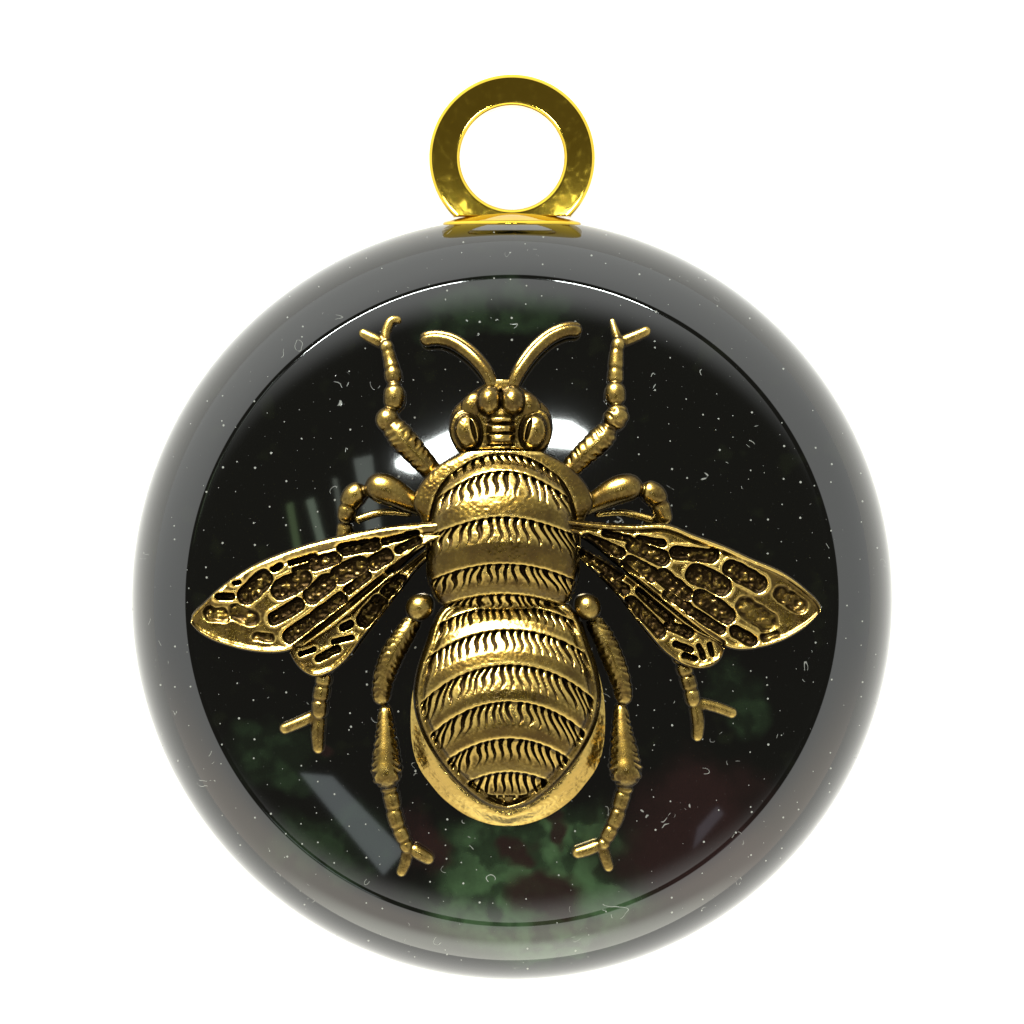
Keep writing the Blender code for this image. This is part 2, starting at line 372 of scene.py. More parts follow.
def curve(points, count):
    """A smooth line through the points, as count rows evenly spaced along it."""
    points = np.asarray(points, float)
    steps = np.linalg.norm(np.diff(points, axis=0), axis=1)
    knots = np.concatenate([[0.0], np.cumsum(steps)])
    slopes = np.gradient(points, knots, axis=0)
    where = np.linspace(0.0, knots[-1], count)
    first = np.clip(np.searchsorted(knots, where, side="right") - 1, 0, len(points) - 2)
    span = (knots[first + 1] - knots[first])[:, None]
    t = (where - knots[first])[:, None] / span
    return ((2 * t**3 - 3 * t**2 + 1) * points[first] + (t**3 - 2 * t**2 + t) * span * slopes[first]
            + (3 * t**2 - 2 * t**3) * points[first + 1] + (t**3 - t**2) * span * slopes[first + 1])


def read(points, where):
    """Reads a smooth line of (place, value) points at one or many places."""
    dense = curve(points, 60 * len(points))
    order = np.argsort(dense[:, 0])
    return np.interp(where, dense[order, 0], dense[order, 1])


def ease(value, low, high):
    t = np.clip((value - low) / (high - low), 0.0, 1.0)
    return t * t * (3.0 - 2.0 * t)


def grain(x, y, size, seed):
    """Soft random values from -1 to 1 over a plane."""
    table = np.random.default_rng(seed).random((64, 64)) * 2.0 - 1.0
    u = np.asarray(x) / size + 300.0
    v = np.asarray(y) / size + 300.0
    i = np.floor(u).astype(int)
    j = np.floor(v).astype(int)
    f = u - i
    g = v - j
    f = f * f * (3.0 - 2.0 * f)
    g = g * g * (3.0 - 2.0 * g)
    corner = table[i % 64, j % 64], table[(i + 1) % 64, j % 64]
    beside = table[i % 64, (j + 1) % 64], table[(i + 1) % 64, (j + 1) % 64]
    return (corner[0] * (1 - f) + corner[1] * f) * (1 - g) + (beside[0] * (1 - f) + beside[1] * f) * g


def face_height(across, up):
    """Height of the disc's face at a place, against its middle."""
    sizes = bpy.context.scene.ornament_disc
    return -(np.square(across) + np.square(up)) * (sizes.face_rise / sizes.crease_radius**2) * MM


def to_world(points):
    """Bee places (across, up, height) to world places, all in millimetres."""
    return np.stack([points[:, 0] + BEE_SHIFT, FACE_FRONT - points[:, 2], points[:, 1] + DISC_MID], 1)


def welded(mesh, reach, sliver=None):
    """Joins a mesh's doubled points and turns its faces outward."""
    work = bmesh.new()
    work.from_mesh(mesh)
    bmesh.ops.remove_doubles(work, verts=work.verts, dist=reach)
    if sliver:
        bmesh.ops.dissolve_degenerate(work, edges=work.edges, dist=sliver)
    bmesh.ops.recalc_face_normals(work, faces=work.faces)
    work.to_mesh(mesh)
    work.free()


def grown_from(holder, modifier):
    """The mesh that a helper object's modifier makes. The helper goes away."""
    bpy.context.scene.collection.objects.link(holder)
    graph = bpy.context.evaluated_depsgraph_get()
    grown = bpy.data.meshes.new_from_object(holder.evaluated_get(graph))
    holder.modifiers.remove(modifier)
    bpy.data.objects.remove(holder)
    return grown


def mark_hollows(mesh, rounds, stain=None):
    """Stores how deep each point lies against its eased surroundings, in millimetres."""
    count = len(mesh.vertices)
    spots = np.empty(count * 3)
    mesh.vertices.foreach_get("co", spots)
    spots = spots.reshape(-1, 3)
    normals = np.empty(count * 3)
    mesh.vertex_normals.foreach_get("vector", normals)
    edges = np.empty(len(mesh.edges) * 2, dtype=np.int32)
    mesh.edges.foreach_get("vertices", edges)
    edges = edges.reshape(-1, 2)
    ends = np.concatenate([edges[:, 0], edges[:, 1]])
    others = np.concatenate([edges[:, 1], edges[:, 0]])
    degree = np.maximum(np.bincount(ends, minlength=count), 1)[:, None]
    eased = spots.copy()
    for _ in range(rounds):
        sums = [np.bincount(ends, weights=eased[others, k], minlength=count) for k in range(3)]
        eased = (eased + np.stack(sums, 1) / degree) / 2
    depth = ((eased - spots) * normals.reshape(-1, 3)).sum(1) / MM
    if stain is not None:
        given = np.empty(count, np.float32)
        mesh.attributes["stain"].data.foreach_get("value", given)
        depth = depth + given
        mesh.attributes.remove(mesh.attributes["stain"])
    layer = mesh.attributes.new("hollow", "FLOAT", "POINT")
    layer.data.foreach_set("value", depth.astype(np.float32))


def piece(name, points, faces, finish, nodes, rounds=0, stain=None):
    """Makes one finished piece from points in world millimetres."""
    mesh = bpy.data.meshes.new(name)
    mesh.from_pydata((np.asarray(points) * MM).tolist(), [], faces)
    if stain is not None:
        layer = mesh.attributes.new("stain", "FLOAT", "POINT")
        layer.data.foreach_set("value", stain.astype(np.float32))
    welded(mesh, 2e-7, 1e-8)
    mesh.shade_smooth()
    mesh.materials.append(material(finish))
    if rounds:
        mark_hollows(mesh, rounds, stain)
    made = bpy.data.objects.new(name, mesh)
    bpy.context.scene.collection.objects.link(made)
    if finish == "antique gold":
        bpy.data.collections["bee metal"].objects.link(made)
    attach(made, BODY)
    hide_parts(*nodes)
    return made


HOLLOW_ROUNDS = 40
LIMB_ROUNDS = 24


def relief(name, across, up, height, foot, nodes, stain=None):
    """A carved plate: a fine grid on top, walls round it and a flat underside."""
    rows, columns = across.shape
    top = np.stack([across, up, height], axis=-1).reshape(-1, 3)
    index = np.arange(rows * columns).reshape(rows, columns)
    quads = np.stack([index[:-1, :-1], index[:-1, 1:], index[1:, 1:], index[1:, :-1]], -1)
    edge = np.concatenate([index[0, :], index[1:, -1], index[-1, -2::-1], index[-2:0:-1, 0]])
    keep = np.linalg.norm(top[edge] - top[np.roll(edge, 1)], axis=1) > 3e-4
    edge = edge[keep]
    low = top[edge].copy()
    low[:, 2] = foot(low[:, 0], low[:, 1])
    feet = len(top) + np.arange(len(edge))
    walls = np.stack([edge, np.roll(edge, -1), np.roll(feet, -1), feet], -1)
    faces = quads.reshape(-1, 4).tolist() + walls.tolist() + [feet.tolist()]
    points = to_world(np.vstack([top, low]))
    if stain is not None:
        stain = np.concatenate([stain.ravel(), stain.ravel()[edge]])
    return piece(name, points, faces, "antique gold", nodes, HOLLOW_ROUNDS, stain)


def on_face(across, up):
    """Where a body piece's wall ends, just inside the face."""
    return face_height(across, up) - 0.05


# ---------------------------------------------------------------- disc, seat and ring


def turned(profile, steps, stretch=(1.0, 1.0)):
    """Points and faces of a closed turned shape. The profile is (radius, height) rows that
    start and end on the axis."""
    turn = np.linspace(0.0, 2 * math.pi, steps, endpoint=False)
    radius, height = profile[1:-1, 0], profile[1:-1, 1]
    across = radius[:, None] * np.cos(turn) * stretch[0]
    beside = radius[:, None] * np.sin(turn) * stretch[1]
    level = np.broadcast_to(height[:, None], across.shape)
    points = np.stack([across, beside, level], -1).reshape(-1, 3)
    index = np.arange(len(points)).reshape(len(radius), steps)
    after = np.roll(index, -1, axis=1)
    quads = np.stack([index[:-1], after[:-1], after[1:], index[1:]], -1).reshape(-1, 4)
    poles = np.array([[0.0, 0.0, profile[0, 1]], [0.0, 0.0, profile[-1, 1]]])
    first, last = len(points), len(points) + 1
    caps = [[first, int(b), int(a)] for a, b in zip(index[0], after[0])]
    caps += [[last, int(a), int(b)] for a, b in zip(index[-1], after[-1])]
    return np.vstack([points, poles]), quads.tolist() + caps


def make_disc():
    sizes = bpy.context.scene.ornament_disc
    crease = sizes.crease_radius / MM
    rise = sizes.face_rise / MM
    band = DISC_RADIUS - crease
    inner = np.concatenate([np.linspace(0.0, crease - 0.2, 60), crease - np.array([0.1, 0.05, 0.02, 0.0])])
    face = np.stack([inner, FACE_FRONT + rise * (inner / crease) ** 2], 1)
    turn = np.concatenate([[0.004, 0.01, 0.02], np.linspace(0.04, math.pi - 0.02, 110)])
    rim = np.stack([crease + band * np.sin(turn), -RIM_HALF_DEPTH * np.cos(turn)], 1)
    outer = np.array([crease, crease * 0.97, crease * 0.6, 0.0])
    back = np.stack([outer, np.full(4, RIM_HALF_DEPTH)], 1)
    points, faces = turned(np.vstack([face, rim, back]), 288)
    world = np.stack([points[:, 0], points[:, 2], points[:, 1] + DISC_MID], 1)
    world[:, 2] = np.minimum(world[:, 2], DISC_HIGH[2])
    return piece("resin_disc", world, faces, "marbled resin", ["disc"])


def make_seat():
    half_x = (SEAT_HIGH[0] - SEAT_LOW[0]) / 2
    half_y = (SEAT_HIGH[1] - SEAT_LOW[1]) / 2
    edge = 0.3
    rise = SEAT_HIGH[2] - SEAT_LOW[2] - edge
    turn = np.linspace(-math.pi / 2, math.pi / 2, 9)[1:-1]
    rounded = np.stack([1.0 - 0.02 + 0.02 * np.cos(turn), SEAT_LOW[2] + edge / 2 * (1 + np.sin(turn))], 1)
    out = np.linspace(0.97, 0.0, 24)
    dome = np.stack([out, SEAT_LOW[2] + edge + rise * (1.0 - out**2)], 1)
    base = np.array([[0.0, SEAT_LOW[2]], [0.5, SEAT_LOW[2]], [0.97, SEAT_LOW[2]]])
    points, faces = turned(np.vstack([base, rounded, dome]), 160, (half_x, half_y))
    points[:, 2] -= np.square(points[:, 0]) / (2 * DISC_RADIUS) * 0.95
    depth = np.square(points[:, 1] / RIM_HALF_DEPTH)
    rim_band = DISC_RADIUS - bpy.context.scene.ornament_disc.crease_radius / MM
    points[:, 2] -= rim_band * (1.0 - np.sqrt(1.0 - depth)) * 0.95
    return piece("hanger_seat", points, faces, "polished gold", ["seat_plate"])


def ring_tree():
    """A geometry node tree that sweeps a rounded rectangle round a circle."""
    tree = bpy.data.node_groups.new("Flat ring", "GeometryNodeTree")
    bench = Bench(tree)
    sockets = {}
    for name in ("Middle radius", "Width", "Depth", "Edge round"):
        sockets[name] = tree.interface.new_socket(name, in_out="INPUT", socket_type="NodeSocketFloat")
    sockets["Finish"] = tree.interface.new_socket(
        "Finish", in_out="INPUT", socket_type="NodeSocketMaterial")
    tree.interface.new_socket("Geometry", in_out="OUTPUT", socket_type="NodeSocketGeometry")
    given = bench.node("NodeGroupInput")
    path = bench.node("GeometryNodeCurvePrimitiveCircle", {}, {
        "Resolution": 224, "Radius": bench.out(given, "Middle radius")})
    shape = bench.node("GeometryNodeCurvePrimitiveQuadrilateral", {}, {
        "Width": bench.out(given, "Width"), "Height": bench.out(given, "Depth")})
    rounded = bench.node("GeometryNodeFilletCurve", {"mode": "POLY"}, {
        "Curve": bench.out(shape), "Count": 9, "Radius": bench.out(given, "Edge round"),
        "Limit Radius": True})
    even = bench.node("GeometryNodeResampleCurve", {}, {"Curve": bench.out(rounded), "Count": 110})
    swept = bench.node("GeometryNodeCurveToMesh", {}, {
        "Curve": bench.out(path), "Profile Curve": bench.out(even)})
    stood = bench.node("GeometryNodeTransform", {}, {
        "Geometry": bench.out(swept), "Rotation": (math.pi / 2, 0.0, 0.0)})
    real = bench.node("GeometryNodeRealizeInstances", {}, {"Geometry": bench.out(stood)})
    dressed = bench.node("GeometryNodeSetMaterial", {}, {
        "Geometry": bench.out(real), "Material": bench.out(given, "Finish")})
    end = bench.node("NodeGroupOutput")
    tree.links.new(dressed.outputs[0], end.inputs[0])
    return tree, sockets


def make_ring():
    sizes = bpy.context.scene.ornament_ring
    hole = sizes.hole_radius / MM
    tree, sockets = ring_tree()
    holder = bpy.data.objects.new("ring holder", bpy.data.meshes.new("ring holder"))
    modifier = holder.modifiers.new("ring", "NODES")
    modifier.node_group = tree
    given = {"Middle radius": (RING_OUTER + hole) / 2, "Width": RING_OUTER - hole,
             "Depth": RING_HIGH[1] - RING_LOW[1], "Edge round": sizes.edge_round / MM,
             "Finish": material("polished gold")}
    for name, value in given.items():
        modifier[sockets[name].identifier] = value
    grown = grown_from(holder, modifier)
    work = bmesh.new()
    work.from_mesh(grown)
    cut = bmesh.ops.bisect_plane(
        work, geom=work.verts[:] + work.edges[:] + work.faces[:], dist=1e-6,
        plane_co=(0.0, 0.0, RING_LOW[2]), plane_no=(0.0, 0.0, 1.0), clear_inner=True)
    rim = [part for part in cut["geom_cut"] if isinstance(part, bmesh.types.BMEdge)]
    bmesh.ops.edgeloop_fill(work, edges=rim)
    work.verts.index_update()
    points = np.array([vert.co[:] for vert in work.verts])
    faces = [[vert.index for vert in face.verts] for face in work.faces]
    work.free()
    return piece("hanger_loop", points, faces, "polished gold", ["hanger_ring"])


# ---------------------------------------------------------------- body of the bee


def hair_bands(side, level, bands, pitch, fan, seed):
    """Height changes for bands of carved hair. Each band is (upper, lower) on the level scale.
    Between bands lie smooth raised rolls, and hair tips run up onto the next roll."""
    height = np.zeros_like(level)
    for number, (upper, lower) in enumerate(bands):
        down = upper - level
        share = down / (upper - lower)
        start = side / (1.0 + fan * np.clip(down, 0.0, 3.0))
        phase = start / pitch + 0.16 * np.sin(2 * math.pi * share)
        phase = phase + 0.42 * grain(start, level, 0.9, seed + number)
        wave = np.cos(2 * math.pi * (phase + 0.5))
        width = -0.25 + 1.05 * np.clip(share, 0.0, 1.25) ** 1.3
        within = ease(share, -0.06, 0.06) * (1.0 - ease(share, 0.98, 1.28))
        cuts = ease(wave, width, width + 0.75) * within
        step = (1.0 - np.clip(share, 0.0, 1.0)) * ease(share, -0.05, 0.09) * (share < 1.0)
        height = height - 0.30 * step - 0.36 * cuts * (0.55 + 0.45 * (1 - np.clip(share, 0, 1)))
    return height


def dome_grid(outline, centre, top, bottom, rows, columns, crowd=1.0):
    """Rows of places across a rounded outline of (up, half width) rows. A crowd over 1 packs the
    rows towards the bottom and closes it in a point."""
    t = np.linspace(0.0, 1.0, rows)
    up = top + (bottom - top) * (1.0 - (1.0 - t) ** crowd)
    width = np.maximum(read(outline, up), 0.0)
    if crowd != 1.0:
        width[-1] = 0.0
    turn = np.linspace(-math.pi / 2, math.pi / 2, columns)
    side = width[:, None] * np.sin(turn)
    level = np.broadcast_to(up[:, None], side.shape).copy()
    return side + centre, level, side, width[:, None], np.cos(turn)


def edge_distance(up, side, width):
    """How far a place lies inside the outline, allowing for the outline's slope."""
    slope = np.gradient(width[:, 0], up[:, 0])[:, None]
    return (width - np.abs(side)) / np.sqrt(1.0 + np.clip(slope, -4, 4) ** 2)


ABDOMEN_OUTLINE = ((-0.2, 4.55), (-0.6, 4.95), (-3.0, 5.95), (-5.2, 6.65), (-6.6, 6.85), (-8.2, 6.7),
                   (-9.65, 6.2), (-10.8, 5.6), (-12.0, 4.8), (-13.2, 3.75), (-14.2, 2.6), (-14.75, 1.75),
                   (-15.05, 0.95), (-15.15, 0.0))
ABDOMEN_CREST = ((-0.2, 2.7), (-1.0, 3.3), (-2.5, 4.1), (-5.0, 4.75), (-7.5, 4.85), (-10.0, 4.3),
                 (-12.0, 3.4), (-13.5, 2.45), (-14.5, 1.8), (-15.15, 1.45))
ABDOMEN_HAIR = ((-0.3, -1.3), (-2.0, -3.5), (-4.5, -6.25), (-7.15, -8.9), (-9.85, -11.5),
                (-12.35, -14.0))

ABDOMEN_WALL = 1.25


def make_abdomen():
    across, up, side, width, around = dome_grid(ABDOMEN_OUTLINE, 0.0, -0.2, -15.15, 330, 250, 1.35)
    crest = read(ABDOMEN_CREST, up)
    height = ABDOMEN_WALL + (crest - ABDOMEN_WALL) * around**0.8
    edge = edge_distance(up, side, width)
    inside = ease(edge, 0.45, 0.85)
    level = up + (0.046 - 0.0033 * up) * (side - 0.15) ** 2
    hair = hair_bands(side, level, ABDOMEN_HAIR, 0.55, 0.12, 20)
    end = ease(-up, 14.0, 14.25) * ease(edge, 0.25, 0.5)
    hair = hair * (1.0 - ease(-up, 13.8, 14.1)) - 0.22 * end
    rough = 0.2 * ease(grain(across, up, 0.24, 5), 0.05, 0.7) * end
    height = height + inside * hair + rough * inside
    border = 0.16 * np.exp(-np.square((edge - 0.32) / 0.24))
    furrow = 0.14 * np.exp(-np.square((edge - 0.78) / 0.2))
    height = height + border - furrow
    height = height + 0.012 * grain(across, up, 0.16, 6)
    relief("cast_abdomen", across, up, height, on_face, ["bee_abdomen"])


PLATE_OUTLINE = ((-1.0, 4.6), (-4.0, 6.2), (-7.0, 7.0), (-9.0, 7.1), (-10.4, 7.0), (-11.5, 6.75),
                 (-12.4, 6.35), (-13.3, 5.7), (-14.3, 4.85), (-15.1, 3.9), (-15.7, 2.95),
                 (-16.1, 2.0), (-16.35, 1.05), (-16.45, 0.0))


def make_back_plate():
    across, up, side, width, _ = dome_grid(PLATE_OUTLINE, 0.05, -1.0, -16.45, 200, 150, 1.35)
    edge = edge_distance(up, side, width)
    height = 0.35 + 0.95 * ease(edge, -0.2, 1.5) + 0.02 * grain(across, up, 0.14, 7)
    worn = -0.075 + 0.03 * grain(across, up, 0.3, 12)
    relief("cast_back_plate", across, up, height, on_face, ["bee_back_plate"], stain=worn)


THORAX_OUTLINE = ((-0.55, 0.0), (-0.5, 2.4), (-0.1, 4.6), (1.3, 5.4), (4.0, 5.6), (6.1, 6.05), (6.9, 6.5),
                  (8.0, 6.3), (9.5, 5.2), (10.6, 3.5), (10.9, 2.9))
THORAX_DOME = ((-0.55, 2.4), (-0.1, 4.55), (1.3, 5.35), (4.0, 5.5), (6.1, 5.25), (8.0, 4.7), (9.3, 3.75),
               (10.2, 2.6), (10.9, 1.9))
THORAX_CREST = ((-0.55, 2.9), (0.3, 3.7), (2.0, 4.7), (4.0, 5.15), (6.0, 5.2), (8.0, 4.75), (9.6, 3.8),
                (10.4, 3.0), (10.9, 2.4))
THORAX_HAIR = ((10.75, 9.95), (9.45, 7.75), (6.15, 4.35), (2.75, 1.3), (0.55, -0.5))
THORAX_MIDDLE = -0.3


def make_thorax():
    across, up, side, _, around = dome_grid(THORAX_OUTLINE, THORAX_MIDDLE, 10.9, -0.55, 300, 240)
    inner = np.maximum(read(THORAX_DOME, up), 0.3)
    crest = read(THORAX_CREST, up)
    share = np.clip(np.abs(side) / inner, 0.0, 1.0)
    dome = 2.0 + (crest - 2.0) * np.sqrt(1.0 - share**2) ** 0.85
    shoulder = 1.6 + 1.35 * np.sqrt(np.maximum(around, 0.0)) * ease(up, -0.5, 6.5)
    shoulder = shoulder + 0.2 * ease(up, 6.0, 7.5)
    height = np.logaddexp(dome * 6.0, shoulder * 6.0) / 6.0
    bow = 0.045 + 0.05 * ease(up, 4.0, 9.0)
    level = up + bow * side**2
    on_dome = 1.0 - ease(np.abs(side) / inner, 0.9, 1.0)
    hair = hair_bands(side, level, THORAX_HAIR, 0.58, 0.16, 40)
    furrow = -0.3 * np.exp(-np.square((np.abs(side) - inner * 0.985) / 0.12)) * ease(up, 0.0, 2.0)
    height = height + hair * on_dome + furrow * (1.0 - ease(up, 8.6, 9.6))
    height = np.minimum(height, 5.22) + 0.015 * grain(across, up, 0.17, 8)
    relief("cast_thorax", across, up, height, on_face, ["bee_thorax"])


HEAD_MIDDLE = -0.46
HEAD_OUTLINE = ((10.35, 2.2), (10.6, 2.55), (11.06, 3.2), (12.5, 3.8), (13.3, 3.72), (14.07, 3.4),
                (14.7, 2.75), (15.3, 2.0), (15.8, 1.25), (16.1, 0.8))


def oval(across, up, centre, half, turn=0.0):
    """Distance from an oval's centre, 1 on its edge."""
    x = across - centre[0]
    y = up - centre[1]
    c, s = math.cos(math.radians(turn)), math.sin(math.radians(turn))
    return np.sqrt(np.square((x * c + y * s) / half[0]) + np.square((y * c - x * s) / half[1]))


def knob(height, far, low, top):
    """Raises a rounded knob where the oval distance is under 1."""
    dome = low + (top - low) * np.sqrt(np.clip(1.0 - far**2, 0.0, 1.0))
    return np.where(far < 1.0, np.maximum(height, dome), height)


def make_head():
    across, up, side, _, around = dome_grid(HEAD_OUTLINE, HEAD_MIDDLE, 16.1, 10.35, 210, 230)
    height = 1.45 + 1.15 * np.sqrt(around) * (1.0 - 0.2 * ease(up, 14.5, 16.1))
    mirrored = np.abs(side)
    for sign in (-1, 1):
        eye = oval(side, up, (sign * 2.5, 12.42), (1.32, 1.78), -sign * 6)
        height = knob(height, eye, 1.5, 3.35)
        iris = oval(side, up, (sign * 2.42, 12.32), (0.92, 1.30), -sign * 10)
        height = height - 0.22 * np.exp(-np.square((iris - 1.06) / 0.13))
        height = height + 0.16 * (1.0 - ease(iris, 0.75, 1.0))
        slit = oval(side, up, (sign * 1.98, 12.42), (0.17, 0.85), -sign * 14)
        height = height - 0.34 * (1.0 - ease(slit, 0.7, 1.15))
        crown = oval(side, up, (sign * 0.86, 14.55), (0.95, 1.15))
        height = knob(height, crown, 2.3, 3.45)
        temple = oval(side, up, (sign * 2.0, 14.25), (0.85, 1.1), sign * 35)
        height = knob(height, temple, 2.1, 2.75)
    parting = ease(up, 13.9, 14.2) * (1 - ease(up, 15.2, 15.5))
    height = height - 0.28 * np.exp(-np.square(side / 0.1)) * parting
    muzzle = oval(side, up, (0.0, 12.4), (1.2, 1.9))
    height = knob(height, muzzle, 2.0, 3.25)
    for level, half, lift in ((13.25, 0.85, 0.30), (12.55, 0.75, 0.16), (11.75, 0.85, 0.16)):
        bar = np.exp(-np.square((up - level) / 0.24)) * (1.0 - ease(mirrored, half * 0.75, half * 1.15))
        height = height + lift * bar
    for level in (12.9, 12.2, 11.35):
        height = height - 0.22 * np.exp(-np.square((up - level) / 0.09)) * (1 - ease(mirrored, 0.8, 1.1))
    mouth = up - (10.98 - 0.02 * side**2)
    height = height - 0.38 * np.exp(-np.square(mouth / 0.13)) * (1.0 - ease(mirrored, 2.0, 2.4))
    height = height + 0.012 * grain(across, up, 0.18, 9)
    relief("cast_head", across, up, height, on_face, ["bee_head"])


# ---------------------------------------------------------------- wings


def capsule(across, up, first, second, half):
    """Distance outside a capsule between two places; negative inside."""
    a = np.array(first)
    b = np.array(second)
    run = b - a
    t = ((across - a[0]) * run[0] + (up - a[1]) * run[1]) / max(float(run @ run), 1e-9)
    t = np.clip(t, 0.0, 1.0)
    return np.hypot(across - a[0] - t * run[0], up - a[1] - t * run[1]) - half


def nearest(across, up, capsules):
    """Distance outside the nearest of the capsules."""
    out = 99.0 * np.ones_like(across)
    for x1, z1, x2, z2, half in capsules:
        out = np.minimum(out, capsule(across, up, (x1, z1), (x2, z2), half))
    return out


WING_ROWS = 330
WING_COLUMNS = 150
CELL_DEPTH = 0.50
GROOVE_DEPTH = 0.55


def wing(name, node, shape, level, tip, bar, seed):
    """A carved wing between its front and rear edges. Cells are hollows with rough floors, tip is
    where the thin outer part starts, and bar is the width of the thick front edge."""
    rows, columns = WING_ROWS, WING_COLUMNS
    lead = curve(shape["front"], rows)
    trail = curve(shape["rear"], rows)
    t = np.linspace(0.0, 1.0, columns)[None, :, None]
    places = lead[:, None, :] * (1 - t) + trail[:, None, :] * t
    across, up = places[..., 0], places[..., 1]
    chord = np.linalg.norm(lead - trail, axis=1)[:, None]
    from_front = t[..., 0] * chord
    from_rear = (1 - t[..., 0]) * chord
    wander = 0.06 * grain(across, up, 0.45, seed)
    out = nearest(across, up, shape["cells"]) - 0.08
    cut = 1.0 - ease(out + wander, -0.14, 0.08)
    vein = np.exp(-np.square((out - 0.14) / 0.16))
    base = level(np.abs(across))
    tipped = ease(np.abs(across), tip - 1.0, tip + 1.0)
    height = base + 0.12 + 0.06 * vein - CELL_DEPTH * cut
    height = height + cut * 0.07 * grain(across, up, 0.22, seed + 1)
    dish = 1.0 - ease(nearest(across, up, shape["shallow"]) + wander, -0.22, 0.14)
    height = height - 0.26 * dish + dish * 0.05 * grain(across, up, 0.28, seed + 3)
    height = height + (1 - cut) * tipped * (0.05 * grain(across, up, 0.7, seed + 2) - 0.05)
    for line in shape["grooves"]:
        path = curve(line, 60)
        near = np.min(np.hypot(across[..., None] - path[:, 0], up[..., None] - path[:, 1]), axis=-1)
        height = height - GROOVE_DEPTH * (1.0 - ease(near, 0.10, 0.30))
    thick = np.exp(-np.square((from_front - bar * 0.55) / (bar * 0.5)))
    height = height + 0.26 * thick + 0.16 * np.exp(-np.square((from_rear - 0.22) / 0.2))
    height = height - 0.12 * np.exp(-np.square((from_front - bar * 1.35) / 0.10)) * (1 - tipped)
    height = height - 0.3 * (1.0 - ease(np.minimum(from_front, from_rear), 0.0, 0.14))
    height = height + 0.012 * grain(across, up, 0.15, seed + 4)
    patchy = 0.05 * grain(across, up, 0.4, seed + 5)
    stain = cut * (0.075 + patchy + 0.04 * grain(across, up, 0.16, seed + 6))
    stain = stain - 0.03 * vein * (1.0 - cut)
    stain = stain + dish * (0.03 + 0.05 * grain(across, up, 0.35, seed + 7))
    relief(name, across, up, height, lambda x, z: level(np.abs(x)) - 0.55, [node], stain=stain)


LEFT_FORE = {
    "front": ((-4.6, 5.85), (-8.0, 5.55), (-11.4, 4.96), (-15.2, 3.98), (-18.9, 2.41), (-22.0, 0.0),
              (-22.95, -1.13), (-22.98, -1.5)),
    "rear": ((-4.6, 4.6), (-5.5, 4.3), (-9.2, 1.1), (-11.4, -0.9), (-14.0, -2.75), (-16.2, -3.68),
             (-18.3, -3.68), (-20.1, -3.3), (-21.6, -2.75), (-22.76, -1.88), (-22.98, -1.5)),
    "cells": ((-11.87, 3.78, -9.57, 4.15, 0.37), (-8.95, 4.34, -6.59, 4.96, 0.15),
              (-7.89, 3.78, -6.46, 4.46, 0.22), (-9.7, 2.78, -8.76, 3.34, 0.45),
              (-15.42, 2.29, -14.2, 2.65, 0.14), (-13.9, 2.75, -12.5, 3.15, 0.42),
              (-12.06, 1.97, -10.69, 2.6, 0.65), (-15.67, 2.78, -13.92, 3.28, 0.1),
              (-16.97, 2.35, -16.47, 2.6, 0.15), (-16.4, 0.9, -14.92, 1.6, 0.68),
              (-14.17, 0.48, -13.05, 1.35, 0.6), (-18.9, 0.48, -17.66, 1.6, 0.62),
              (-16.85, -1.2, -15.17, -0.2, 0.42), (-15.79, -2.5, -12.06, 0.23, 0.42),
              (-11.56, 0.86, -10.19, 1.91, 0.27), (-8.6, 2.2, -6.2, 3.9, 0.13),
              (-20.95, 0.36, -20.02, 0.36, 0.18), (-19.77, 1.35, -19.46, 1.41, 0.08)),
    "shallow": ((-21.5, -0.9, -20.6, -1.0, 0.52), (-19.7, -0.75, -18.6, -1.2, 0.62),
                (-18.2, -2.5, -17.2, -2.65, 0.3)),
    "grooves": (((-15.3, -3.25), (-12.5, -1.05), (-9.2, 1.6), (-6.1, 3.9)),),
}
RIGHT_FORE = {
    "front": ((4.0, 6.05), (4.9, 5.92), (9.04, 5.6), (11.75, 5.6), (13.57, 4.88), (15.5, 4.18),
              (17.8, 3.14), (20.0, 2.18), (21.7, 0.95), (22.6, 0.05), (22.8, -0.35),
              (22.75, -0.75)),
    "rear": ((4.0, 5.1), (4.9, 4.9), (8.4, 2.45), (10.3, 0.9), (12.9, -1.25), (15.1, -2.85),
             (16.15, -3.4), (18.7, -3.3), (20.67, -2.54), (21.96, -1.64), (22.75, -0.75)),
    "cells": ((7.1, 4.95, 8.78, 4.56, 0.15), (5.81, 4.56, 8.14, 3.53, 0.34),
              (9.56, 4.56, 11.24, 4.24, 0.18), (9.17, 4.05, 11.24, 3.14, 0.48),
              (12.27, 3.53, 14.85, 3.34, 0.42), (8.91, 2.82, 10.46, 1.98, 0.48),
              (13.69, 1.98, 15.5, 1.21, 0.7), (16.27, 2.37, 18.21, 1.33, 0.6),
              (11.24, 1.85, 12.92, 0.56, 0.5), (11.62, 0.5, 13.04, -0.34, 0.3),
              (14.08, 0.3, 15.89, -0.99, 0.6), (13.3, -0.67, 15.5, -2.02, 0.3),
              (6.9, 3.3, 8.2, 2.85, 0.16), (16.53, -2.15, 17.7, -2.8, 0.35)),
    "grooves": (((8.4, 2.69), (11.1, 0.37), (13.69, -1.7), (15.6, -3.0)),),
    "shallow": ((17.3, -0.4, 18.9, -1.5, 0.75), (19.9, 0.6, 21.2, -0.3, 0.6),
                (18.6, -2.6, 19.6, -2.3, 0.25)),
}
